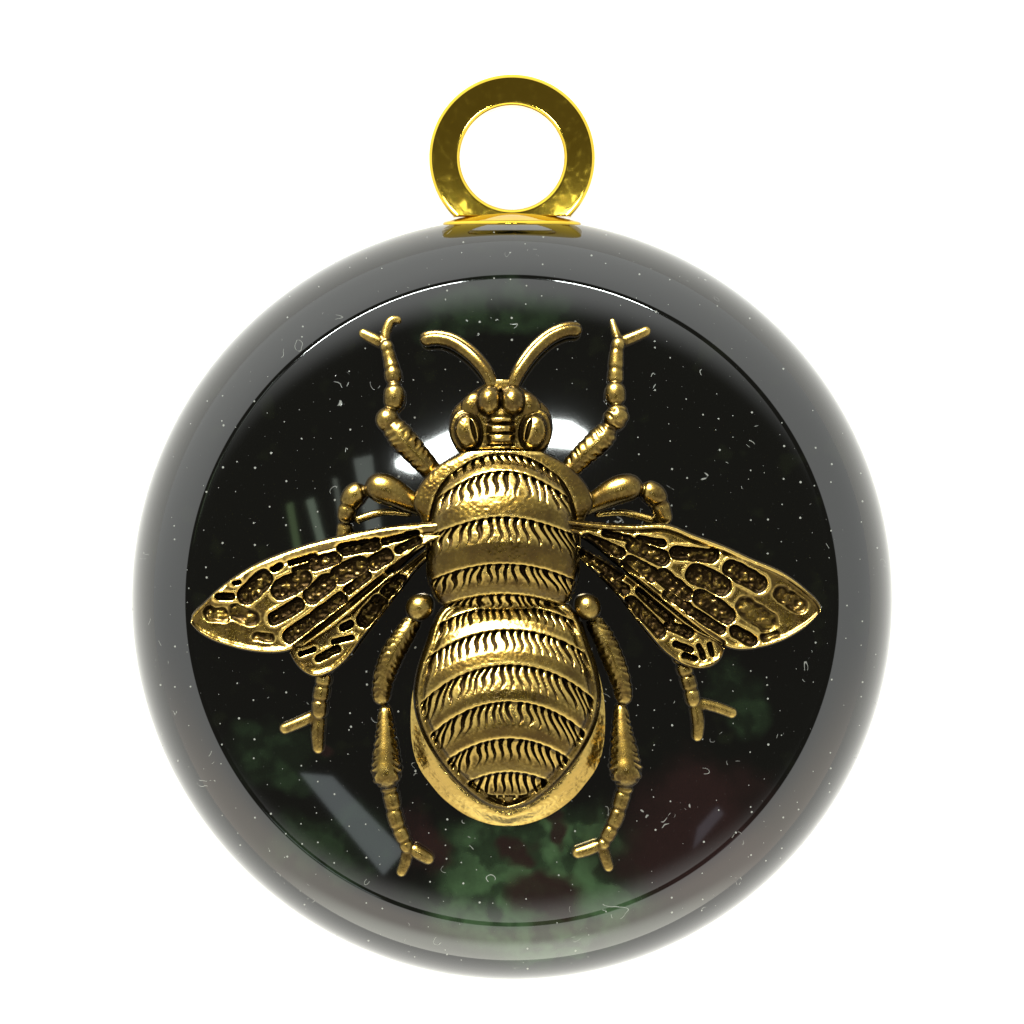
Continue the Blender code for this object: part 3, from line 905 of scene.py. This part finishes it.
LEFT_HIND = {
    "front": ((-5.9, 3.9), (-7.4, 2.7), (-9.2, 1.5), (-12.7, -1.0), (-15.6, -3.3), (-15.82, -3.7)),
    "rear": ((-5.9, 3.0), (-6.46, 2.48), (-7.7, 0.98), (-8.95, -0.64), (-10.57, -2.75),
             (-11.9, -4.49), (-12.93, -5.24), (-14.05, -5.49), (-15.0, -4.98), (-15.6, -4.2),
             (-15.82, -3.7)),
    "cells": ((-8.76, 0.67, -7.71, 1.54, 0.37), (-10.32, -1.26, -9.32, -0.08, 0.55),
              (-11.93, -1.88, -11.44, -1.63, 0.2), (-13.68, -4.12, -12.37, -3.44, 0.18),
              (-14.98, -3.81, -14.05, -3.5, 0.1), (-12.6, -2.9, -11.3, -2.6, 0.1)),
    "shallow": (),
    "grooves": (),
}
RIGHT_HIND = {
    "front": ((4.9, 4.3), (6.7, 3.3), (8.4, 2.2), (11.1, 0.1), (13.69, -1.9), (15.5, -3.0),
              (15.8, -3.44)),
    "rear": ((4.9, 3.5), (6.45, 2.1), (8.1, 0.43), (10.1, -2.15), (11.6, -3.83), (12.9, -4.67),
             (13.95, -4.93), (14.9, -4.74), (15.6, -4.1), (15.8, -3.44)),
    "cells": ((5.68, 3.46, 8.0, 1.98, 0.42), (6.97, 1.72, 8.52, 0.82, 0.36),
              (8.98, 0.0, 11.1, -2.15, 0.4), (9.6, 0.7, 11.88, -1.38, 0.22),
              (11.75, -1.76, 13.2, -2.28, 0.3), (12.27, -3.1, 13.3, -3.5, 0.14),
              (12.9, -3.9, 13.6, -4.15, 0.12), (13.9, -3.2, 14.3, -4.1, 0.1),
              (14.7, -3.1, 14.9, -3.9, 0.08)),
    "shallow": (),
    "grooves": (),
}


def fore_level(reach):
    """Middle height of a forewing, which slopes down to its tip."""
    return 3.62 - reach * math.tan(math.radians(4.0))


def hind_level(reach):
    return 2.35 - reach * 0.035


def make_wings():
    sets = (("left_fore", "bee_forewing_left", LEFT_FORE, fore_level, 16.6, 0.62, 50),
            ("right_fore", "bee_forewing_right", RIGHT_FORE, fore_level, 17.0, 0.40, 60),
            ("left_hind", "bee_hindwing_left", LEFT_HIND, hind_level, 12.6, 0.3, 70),
            ("right_hind", "bee_hindwing_right", RIGHT_HIND, hind_level, 12.5, 0.3, 80))
    for name, node, shape, level, tip, bar, seed in sets:
        wing(f"cast_{name}_wing", node, shape, level, tip, bar, seed)


# ---------------------------------------------------------------- legs and antennae


def tube(centres, half_width, half_height, cuts=None, around=36):
    """Closed swept tube. Centres are (across, up, height) rows; cuts(s, side) sets in grooves."""
    steps = np.linalg.norm(np.diff(centres, axis=0), axis=1)
    s = np.concatenate([[0.0], np.cumsum(steps)])
    along = np.gradient(centres, axis=0)
    along = along / np.linalg.norm(along, axis=1)[:, None]
    sideways = np.cross(along, np.array([0.0, 0.0, 1.0]))
    sideways = sideways / np.maximum(np.linalg.norm(sideways, axis=1)[:, None], 1e-9)
    lift = np.cross(sideways, along)
    cap = np.minimum(half_width, s[-1] / 2)
    near = np.minimum(s, s[-1] - s)
    ends = np.sqrt(np.clip(1.0 - np.square(1.0 - np.clip(near / cap, 0.0, 1.0)), 0.0, 1.0))
    turn = np.linspace(0.0, 2 * math.pi, around, endpoint=False)
    width = (half_width * ends)[:, None]
    rise = (half_height * ends)[:, None]
    inset = cuts(s[:, None], np.cos(turn)[None, :]) * (np.sin(turn)[None, :] > -0.2) if cuts else 0.0
    shrink = 1.0 - inset * ends[:, None]
    ring = (centres[:, None, :] + sideways[:, None, :] * (width * np.cos(turn) * shrink)[..., None]
            + lift[:, None, :] * (rise * np.sin(turn) * shrink)[..., None])
    count = len(centres)
    index = np.arange(count * around).reshape(count, around)
    after = np.roll(index, -1, axis=1)
    quads = np.stack([index[:-1], after[:-1], after[1:], index[1:]], -1).reshape(-1, 4)
    return ring.reshape(-1, 3), quads.tolist()


def crowded(line):
    """The same line with its rows closer together at both ends, for rounder ends."""
    even = np.linspace(0.0, 1.0, len(line))
    close = even - 0.85 * np.sin(2 * math.pi * even) / (2 * math.pi)
    return np.stack([np.interp(close, even, column) for column in line.T], 1)


ROD_ROWS = 110


def rod(points, flat, lift, cuts=None):
    """A limb part through (across, up, half width) points, lying on the face."""
    line = crowded(curve(points, ROD_ROWS))
    half = np.maximum(line[:, 2], 0.05)
    floor = face_height(line[:, 0], line[:, 1])
    centres = np.stack([line[:, 0], line[:, 1], floor + half * flat * 0.92 + lift], 1)
    return tube(centres, half, half * flat, cuts)


def strokes(pitch, lean, depth, ridge=0.0):
    """Hair strokes that slant away from the limb's middle."""
    def cuts(s, side):
        uneven = 0.22 * np.sin(3.1 * s) + 0.16 * np.sin(7.3 * s + 4.0 * side)
        wave = np.cos(2 * math.pi * (s / pitch - lean * np.abs(side) + uneven))
        deep = 0.7 + 0.3 * np.sin(2.2 * s + 3.0 * side)
        return depth * deep * ease(wave, -0.3, 1.0) * ease(np.abs(side), ridge, ridge + 0.35)
    return cuts


def notches(places, depth, width):
    """Grooves across the limb at a few places along it."""
    def cuts(s, side):
        return sum(depth * np.exp(-np.square((s - place) / width)) for place in places)
    return cuts


LIMB_VOXEL = 0.075
ANTENNA_VOXEL = 0.06


def fused(name, node, parts, voxel):
    """Melts a limb's parts into one casting."""
    points = []
    faces = []
    start = 0
    for part_points, part_faces in parts:
        points.append(part_points)
        faces.extend([[place + start for place in face] for face in part_faces])
        start += len(part_points)
    mesh = bpy.data.meshes.new("limb")
    mesh.from_pydata(np.vstack(points).tolist(), [], faces)
    welded(mesh, 1e-4)
    holder = bpy.data.objects.new("limb", mesh)
    melt = holder.modifiers.new("melt", "REMESH")
    melt.mode = "VOXEL"
    melt.voxel_size = voxel
    grown = grown_from(holder, melt)
    places = np.empty(len(grown.vertices) * 3)
    grown.vertices.foreach_get("co", places)
    corners = [list(face.vertices) for face in grown.polygons]
    return piece(name, to_world(places.reshape(-1, 3)), corners, "antique gold", [node], LIMB_ROUNDS)


# Each rod is its (across, up, half width) points, how flat it is, how far it is lifted off the
# face and, for some, the name of its cuts.
FORE_LEGS = {
    "left": [
        (((-5.2, 9.2, 0.75), (-6.6, 10.7, 0.92), (-8.2, 12.6, 0.95), (-8.6, 13.3, 0.75)),
         0.95, 0.35, "femur"),
        (((-8.85, 12.3, 0.6), (-8.75, 13.15, 0.9), (-8.5, 14.15, 0.65)), 0.95, 0.45),
        (((-8.4, 13.7, 0.62), (-8.25, 14.95, 0.8), (-8.3, 16.1, 0.62)), 0.95, 0.35, "joint"),
        (((-8.3, 15.7, 0.62), (-8.35, 16.6, 0.66), (-8.6, 17.7, 0.52), (-8.95, 19.1, 0.5)),
         0.95, 0.2, "tarsus"),
        (((-8.95, 18.8, 0.42), (-9.9, 19.25, 0.42), (-10.85, 19.75, 0.34)), 0.9, 0.1),
        (((-8.95, 18.8, 0.42), (-8.85, 19.8, 0.36), (-8.45, 20.55, 0.33), (-7.75, 20.6, 0.24)),
         0.9, 0.1),
    ],
    "right": [
        (((4.1, 9.1, 0.7), (5.6, 10.7, 0.9), (7.0, 12.0, 0.95), (7.7, 12.8, 0.85)),
         0.95, 0.35, "femur"),
        (((7.3, 12.6, 0.8), (8.0, 13.6, 0.95), (7.95, 14.4, 0.7)), 1.0, 0.35, "knee"),
        (((8.0, 14.0, 0.62), (7.9, 15.0, 0.78), (7.9, 16.1, 0.66)), 0.95, 0.3, "joint"),
        (((7.9, 15.7, 0.62), (7.95, 17.2, 0.58), (8.05, 18.4, 0.52), (8.25, 19.3, 0.5)),
         0.95, 0.2, "tarsus"),
        (((8.2, 18.9, 0.42), (9.3, 19.35, 0.42), (10.5, 19.9, 0.36)), 0.9, 0.1),
        (((8.2, 18.9, 0.4), (7.9, 19.8, 0.3), (7.65, 20.7, 0.18)), 0.9, 0.1),
    ],
}
MID_LEGS = {
    "left": [
        (((-5.6, 6.5, 0.5), (-7.2, 7.3, 0.85), (-9.2, 8.25, 1.12), (-10.4, 8.3, 0.9)), 0.9, 0.5),
        (((-10.2, 8.15, 0.75), (-11.2, 7.7, 0.85), (-11.6, 6.9, 0.72), (-11.9, 5.6, 0.6)),
         0.9, 0.3, "joint"),
        (((-7.0, 6.35, 0.22), (-9.0, 6.5, 0.26), (-11.2, 5.9, 0.3)), 0.9, 0.2),
        (((-11.8, 5.9, 0.6), (-12.4, 1.0, 0.55), (-13.0, -4.0, 0.55), (-13.35, -5.4, 0.62)),
         0.85, 0.0),
        (((-13.3, -5.1, 0.6), (-13.5, -6.2, 0.62), (-13.7, -7.5, 0.62), (-13.75, -8.7, 0.55)),
         0.95, 0.15, "foot"),
        (((-13.7, -8.2, 0.45), (-15.1, -8.85, 0.45), (-16.65, -9.5, 0.42)), 0.9, 0.1),
        (((-13.7, -8.2, 0.48), (-13.85, -9.6, 0.52), (-13.8, -11.2, 0.4)), 0.9, 0.1),
    ],
    "right": [
        (((5.0, 6.4, 0.5), (6.5, 7.3, 0.8), (8.6, 8.25, 1.05), (9.9, 8.3, 0.85)), 0.9, 0.5),
        (((9.6, 8.2, 0.75), (10.7, 7.8, 0.85), (11.2, 6.9, 0.72), (11.6, 5.5, 0.6)),
         0.9, 0.3, "joint"),
        (((6.4, 6.3, 0.22), (8.4, 6.45, 0.26), (10.8, 5.9, 0.3)), 0.9, 0.2),
        (((11.4, 5.9, 0.6), (12.0, 1.0, 0.55), (12.4, -3.4, 0.55), (12.8, -4.7, 0.6)), 0.85, 0.0),
        (((12.75, -4.4, 0.6), (13.1, -5.4, 0.6), (13.45, -6.6, 0.58), (13.7, -7.8, 0.52)),
         0.95, 0.15, "foot"),
        (((13.7, -7.4, 0.42), (15.2, -7.75, 0.42), (16.8, -8.35, 0.4)), 0.9, 0.1),
        (((13.7, -7.4, 0.45), (13.95, -8.8, 0.5), (13.9, -10.3, 0.38)), 0.9, 0.1),
    ],
}
HIND_LEGS = {
    "left": [
        (((-5.7, 0.3, 0.7), (-6.3, -0.35, 0.98), (-7.0, -1.3, 0.75)), 1.0, 1.2),
        (((-6.6, -1.1, 0.6), (-7.5, -2.4, 0.82), (-8.6, -4.4, 0.88), (-9.15, -6.3, 0.75),
          (-9.2, -7.6, 0.62)), 0.9, 0.3, "hairy"),
        (((-8.95, -7.6, 0.42), (-8.9, -9.6, 0.75), (-8.85, -11.6, 1.05), (-8.8, -12.8, 1.15),
          (-8.7, -13.7, 0.85)), 0.85, 0.25, "shin"),
        (((-8.75, -13.2, 0.7), (-8.45, -14.5, 0.62), (-8.15, -16.0, 0.6), (-7.6, -17.4, 0.55),
          (-7.1, -18.5, 0.5)), 0.95, 0.1, "foot4"),
        (((-7.25, -18.0, 0.45), (-7.45, -19.1, 0.45), (-7.9, -20.2, 0.36)), 0.9, 0.05),
        (((-7.2, -18.0, 0.48), (-6.3, -18.55, 0.52), (-5.4, -19.1, 0.42)), 0.9, 0.15),
    ],
    "right": [
        (((5.2, 0.3, 0.7), (5.8, -0.35, 0.95), (6.4, -1.3, 0.75)), 1.0, 1.2),
        (((6.1, -1.1, 0.6), (6.9, -2.4, 0.8), (7.8, -4.4, 0.85), (8.4, -6.2, 0.75),
          (8.6, -7.6, 0.6)), 0.9, 0.3, "hairy"),
        (((8.3, -7.4, 0.42), (8.4, -9.4, 0.78), (8.6, -11.4, 1.1), (8.7, -12.7, 1.25),
          (8.8, -13.6, 0.9)), 0.85, 0.25, "shin"),
        (((8.75, -13.2, 0.68), (8.4, -14.4, 0.6), (8.0, -15.8, 0.58), (7.4, -17.1, 0.55),
          (6.8, -18.2, 0.5)), 0.95, 0.1, "foot4"),
        (((6.9, -17.8, 0.45), (5.9, -18.2, 0.48), (4.75, -18.55, 0.42)), 0.9, 0.15),
        (((6.95, -17.8, 0.45), (7.2, -18.8, 0.45), (7.55, -19.85, 0.36)), 0.9, 0.05),
    ],
}
LIMB_CUTS = {
    "femur": strokes(0.50, 0.75, 0.11, 0.08),
    "knee": strokes(0.42, 0.3, 0.12, 0.0),
    "hairy": strokes(0.48, 1.1, 0.13, 0.10),
    "shin": strokes(0.50, 1.3, 0.20, 0.42),
    "joint": notches((0.35, 2.0), 0.14, 0.16),
    "tarsus": notches((1.3, 2.7), 0.08, 0.16),
    "foot": notches((1.1, 2.2), 0.18, 0.12),
    "foot4": notches((0.8, 2.1, 3.5, 4.6), 0.16, 0.14),
}


def make_legs():
    for pair, legs in (("foreleg", FORE_LEGS), ("midleg", MID_LEGS), ("hindleg", HIND_LEGS)):
        for side, rods in legs.items():
            parts = [rod(points, flat, lift, *[LIMB_CUTS[name] for name in cuts])
                     for points, flat, lift, *cuts in rods]
            fused(f"cast_{pair}_{side}", f"bee_{pair}_{side}", parts, LIMB_VOXEL)


ANTENNAE = {
    "left": ((-1.0, 15.4, 2.0), (-1.35, 16.4, 2.0), (-2.05, 17.4, 1.8), (-3.05, 18.35, 1.4),
             (-4.2, 19.02, 1.0), (-5.4, 19.2, 0.7), (-6.35, 18.98, 0.45)),
    "right": ((0.3, 15.4, 2.0), (0.7, 16.4, 2.0), (1.3, 17.4, 1.8), (2.2, 18.5, 1.4),
              (3.3, 19.38, 1.0), (4.5, 19.82, 0.7), (5.45, 19.75, 0.4)),
}


def make_antennae():
    for side, path in ANTENNAE.items():
        line = crowded(curve(path, 150))
        t = np.linspace(0.0, 1.0, len(line))
        half = 0.46 + 0.13 * ease(t, 0.0, 0.6) + 0.03 * ease(t, 0.85, 1.0)
        sign = 1.0 if side == "left" else -1.0

        def groove(s, across, sign=sign):
            return 0.16 * np.exp(-np.square((across - 0.62 * sign) / 0.14)) * ease(s, 1.2, 2.0)

        parts = [tube(line, half, half, groove, 48)]
        fused(f"cast_antenna_{side}", f"bee_antenna_{side}", parts, ANTENNA_VOXEL)


# ---------------------------------------------------------------- stage


# How the face mirrors the room: the turn of a mirrored ray, in radians, for each millimetre
# from the disc's centre, and its lean because the camera stands a little higher.
MIRROR_TURN = 0.01048
MIRROR_LEAN = -0.0217
CARD_DISTANCE = 350.0


def look_at_face(x, z):
    """Where a light card stands so that the face mirrors it at a place from the disc's centre."""
    sideways = math.tan(MIRROR_TURN * x) * CARD_DISTANCE
    upwards = math.tan(MIRROR_TURN * z + MIRROR_LEAN) * CARD_DISTANCE
    return sideways, -CARD_DISTANCE, DISC_MID + z + upwards


# Each card is its outline on the face, its strength and its colour.
CARDS = {
    "window left": (((-10.7, 10.1), (-9.7, 10.7), (-4.6, 12.7), (-2.5, 13.2), (-2.5, 11.6),
                     (-5.0, 10.9), (-6.7, 9.9), (-9.2, 9.3), (-10.6, 9.7)), 120.0, (0.93, 1.0, 0.97)),
    "window right": (((2.2, 13.2), (5.4, 12.95), (6.9, 12.2), (6.9, 11.0), (2.2, 11.3)), 120.0,
                     (0.93, 1.0, 0.97)),
    "strip one": (((-14.6, 10.3), (-12.9, 10.6), (-11.9, 4.4), (-13.3, 4.6)), 1.9, (0.9, 1.0, 0.9)),
    "strip two": (((-18.9, 7.3), (-18.2, 7.5), (-16.9, 3.7), (-17.6, 3.5)), 2.2, (0.8, 1.0, 0.75)),
    "strip three": (((-20.7, 7.0), (-20.1, 7.2), (-19.1, 2.8), (-19.7, 2.6)), 1.4, (0.7, 1.0, 0.5)),
    "strip four": (((-16.5, 8.9), (-16.1, 8.9), (-15.2, 5.3), (-15.8, 5.3)), 1.6, (0.9, 1.0, 0.85)),
    "lower left": (((-19.6, -12.6), (-16.6, -12.8), (-10.0, -18.2), (-12.0, -20.0)), 1.8, (0.9, 1.0, 1.0)),
    "lower right": (((17.2, -16.6), (19.0, -15.0), (19.6, -15.6), (16.8, -18.2)), 1.0, (0.8, 0.8, 0.9)),
}


def light_card(name, outline, strength, colour):
    made, bench = new_material(name)
    finish_with(bench, bench.node("ShaderNodeEmission", {}, {"Color": rgba(colour), "Strength": strength}))
    points = [[value * MM for value in look_at_face(x, z)] for x, z in outline]
    mesh = bpy.data.meshes.new(name)
    mesh.from_pydata(points, [], [list(range(len(points)))])
    mesh.materials.append(made)
    card = bpy.data.objects.new(name.replace(" ", "_"), mesh)
    bpy.context.scene.collection.objects.link(card)
    card.visible_camera = False
    card.visible_shadow = False


def flat_stage(name, corners, made):
    mesh = bpy.data.meshes.new(name)
    mesh.from_pydata([[value * MM for value in corner] for corner in corners], [], [[0, 1, 2, 3]])
    mesh.materials.append(made)
    board = bpy.data.objects.new(name, mesh)
    bpy.context.scene.collection.objects.link(board)
    return board


def wall_finish():
    """A pale wall that the camera and mirrored rays see from the front only."""
    made, bench = new_material("pale wall")
    paint = bench.node("ShaderNodeBsdfDiffuse", {}, {"Color": (1.0, 1.0, 0.99, 1.0)})
    clear = bench.node("ShaderNodeBsdfTransparent")
    path = bench.node("ShaderNodeLightPath")
    behind = bench.out(bench.node("ShaderNodeNewGeometry"), "Backfacing")
    seen = bench.out(path, "Is Camera Ray").maths("MAXIMUM", bench.out(path, "Is Glossy Ray"))
    blend = bench.node("ShaderNodeMixShader", {}, {0: seen * (1.0 - behind)})
    bench.tree.links.new(clear.outputs[0], blend.inputs[1])
    bench.tree.links.new(paint.outputs[0], blend.inputs[2])
    finish_with(bench, blend)
    return made


SIDE_LIGHT = (2.15, 2.2, 2.15)
HIGH_LIGHT = (2.9, 2.95, 2.85)
LOW_LIGHT = (3.1, 2.9, 2.6)
STRAIGHT_DOWN = (5.6, 5.6, 5.0)
DIM_FRONT = (0.15, 0.14, 0.12)


def room_light():
    """A bright room: strongest above, to the left and straight below, with a dim patch in front."""
    world = bpy.data.worlds.new("bright room")
    bpy.context.scene.world = world
    world.use_nodes = True
    world.node_tree.nodes.clear()
    bench = Bench(world.node_tree)
    x, y, z = bench.split(bench.out(bench.node("ShaderNodeTexCoord"), "Generated"))
    above = (z * 0.9 - x * 0.3).smooth(0.0, 0.85)
    below = (-z).smooth(0.05, 0.6)
    side = x / 0.262
    rise = (z + 0.025) / 0.233
    front = (1.0 - (side * side + rise * rise).smooth(0.90, 1.12)) * (-y).smooth(0.0, 0.1)
    colour = bench.mix(above, SIDE_LIGHT, HIGH_LIGHT)
    colour = bench.mix(below, colour, LOW_LIGHT)
    colour = bench.mix((-z).smooth(0.72, 0.95), colour, STRAIGHT_DOWN)
    colour = bench.mix(front, colour, DIM_FRONT)
    sky = bench.node("ShaderNodeBackground", {}, {"Color": colour, "Strength": 1.0})
    end = bench.node("ShaderNodeOutputWorld")
    bench.tree.links.new(sky.outputs[0], end.inputs["Surface"])


LAMP_SIZE = 0.40
LAMP_ENERGY = 92.0
LAMP_COLOUR = (1.0, 0.97, 0.88)
LAMP_PLACE = (-0.15, -0.34, 0.42)


def bee_lamp():
    """A soft lamp above the bee. Only the bee takes its light, so the resin stays dark."""
    lamp = bpy.data.lights.new("bee lamp", "AREA")
    lamp.shape = "DISK"
    lamp.size = LAMP_SIZE
    lamp.energy = LAMP_ENERGY
    lamp.color = LAMP_COLOUR
    made = bpy.data.objects.new("bee_lamp", lamp)
    bpy.context.scene.collection.objects.link(made)
    made.location = LAMP_PLACE
    aim = Vector((0.0, 0.0, DISC_MID * MM)) - made.location
    made.rotation_euler = aim.to_track_quat("-Z", "Y").to_euler()
    made.light_linking.receiver_collection = bpy.data.collections.new("bee metal")


WALL_GAP = 0.3
WALL_TOP = 700
STAGE_SIDE = 900
FLOOR_DROP = 110.0


def make_stage():
    scene = bpy.context.scene
    sizes = scene.ornament_stage
    scene.view_settings.view_transform = "Standard"
    data = bpy.data.cameras.new("camera")
    data.lens = sizes.lens
    data.sensor_width = 36.0
    data.clip_start = 0.01
    camera = bpy.data.objects.new("camera", data)
    scene.collection.objects.link(camera)
    camera.location = (0.0, -sizes.camera_distance, sizes.camera_height)
    camera.rotation_euler = (math.pi / 2, 0.0, 0.0)
    scene.camera = camera
    wall_y = DISC_HIGH[1] + WALL_GAP
    floor_z = DISC_LOW[2] - FLOOR_DROP
    side = STAGE_SIDE
    wall = flat_stage("wall", ((-side, wall_y, floor_z), (side, wall_y, floor_z), (side, wall_y, WALL_TOP),
                               (-side, wall_y, WALL_TOP)), wall_finish())
    wall.visible_shadow = False
    paint, bench = new_material("pale floor")
    surface(bench, {"Base Color": (0.8, 0.8, 0.79, 1.0), "Roughness": 0.8})
    floor = flat_stage("floor", ((-side, -side, floor_z), (side, -side, floor_z), (side, side, floor_z),
                                 (-side, side, floor_z)), paint)
    floor.visible_glossy = False
    floor.visible_diffuse = False
    room_light()
    bee_lamp()
    for name, (outline, strength, colour) in CARDS.items():
        light_card(name, outline, strength, colour)


# ---------------------------------------------------------------- operators and panel


def operator(name, label, text, *makers):
    """One operator class that runs the makers."""
    def execute(self, context):
        for maker in makers:
            maker()
        return {"FINISHED"}
    fields = {"bl_idname": f"ornament.{name}", "bl_label": label, "__doc__": text, "execute": execute}
    return type(f"ORNAMENT_OT_{name}", (bpy.types.Operator,), fields)


STEPS = (
    operator("stage", "Stage", "Set up the camera, the wall, the floor and the light", make_stage),
    operator("disc", "Resin disc", "Turn the marbled resin disc", make_disc),
    operator("hanger", "Hanger", "Make the seat and the flat ring", make_seat, make_ring),
    operator("body", "Bee body", "Carve the abdomen, thorax, head and back plate",
             make_back_plate, make_abdomen, make_thorax, make_head),
    operator("wings", "Bee wings", "Carve the four wings", make_wings),
    operator("legs", "Bee legs", "Cast the six legs", make_legs),
    operator("antennae", "Bee antennae", "Cast the two antennae", make_antennae),
)


class ORNAMENT_PT_panel(bpy.types.Panel):
    bl_idname = "ORNAMENT_PT_panel"
    bl_label = "Hanging bee disc"
    bl_space_type = "VIEW_3D"
    bl_region_type = "UI"
    bl_category = "Ornament"

    def draw(self, context):
        for step in STEPS:
            self.layout.operator(step.bl_idname)


GROUPS = {"ornament_disc": DiscSizes, "ornament_ring": RingSizes, "ornament_gold": GoldColours,
          "ornament_resin": ResinColours, "ornament_stage": StageSizes}


def register():
    for name, group in GROUPS.items():
        bpy.utils.register_class(group)
        setattr(bpy.types.Scene, name, bpy.props.PointerProperty(type=group))
    for step in STEPS:
        bpy.utils.register_class(step)
    bpy.utils.register_class(ORNAMENT_PT_panel)


def unregister():
    bpy.utils.unregister_class(ORNAMENT_PT_panel)
    for step in reversed(STEPS):
        bpy.utils.unregister_class(step)
    for name, group in GROUPS.items():
        delattr(bpy.types.Scene, name)
        bpy.utils.unregister_class(group)


def main():
    register()
    for step in STEPS:
        getattr(bpy.ops.ornament, step.bl_idname.split(".")[1])()


if __name__ == "__main__":
    main()
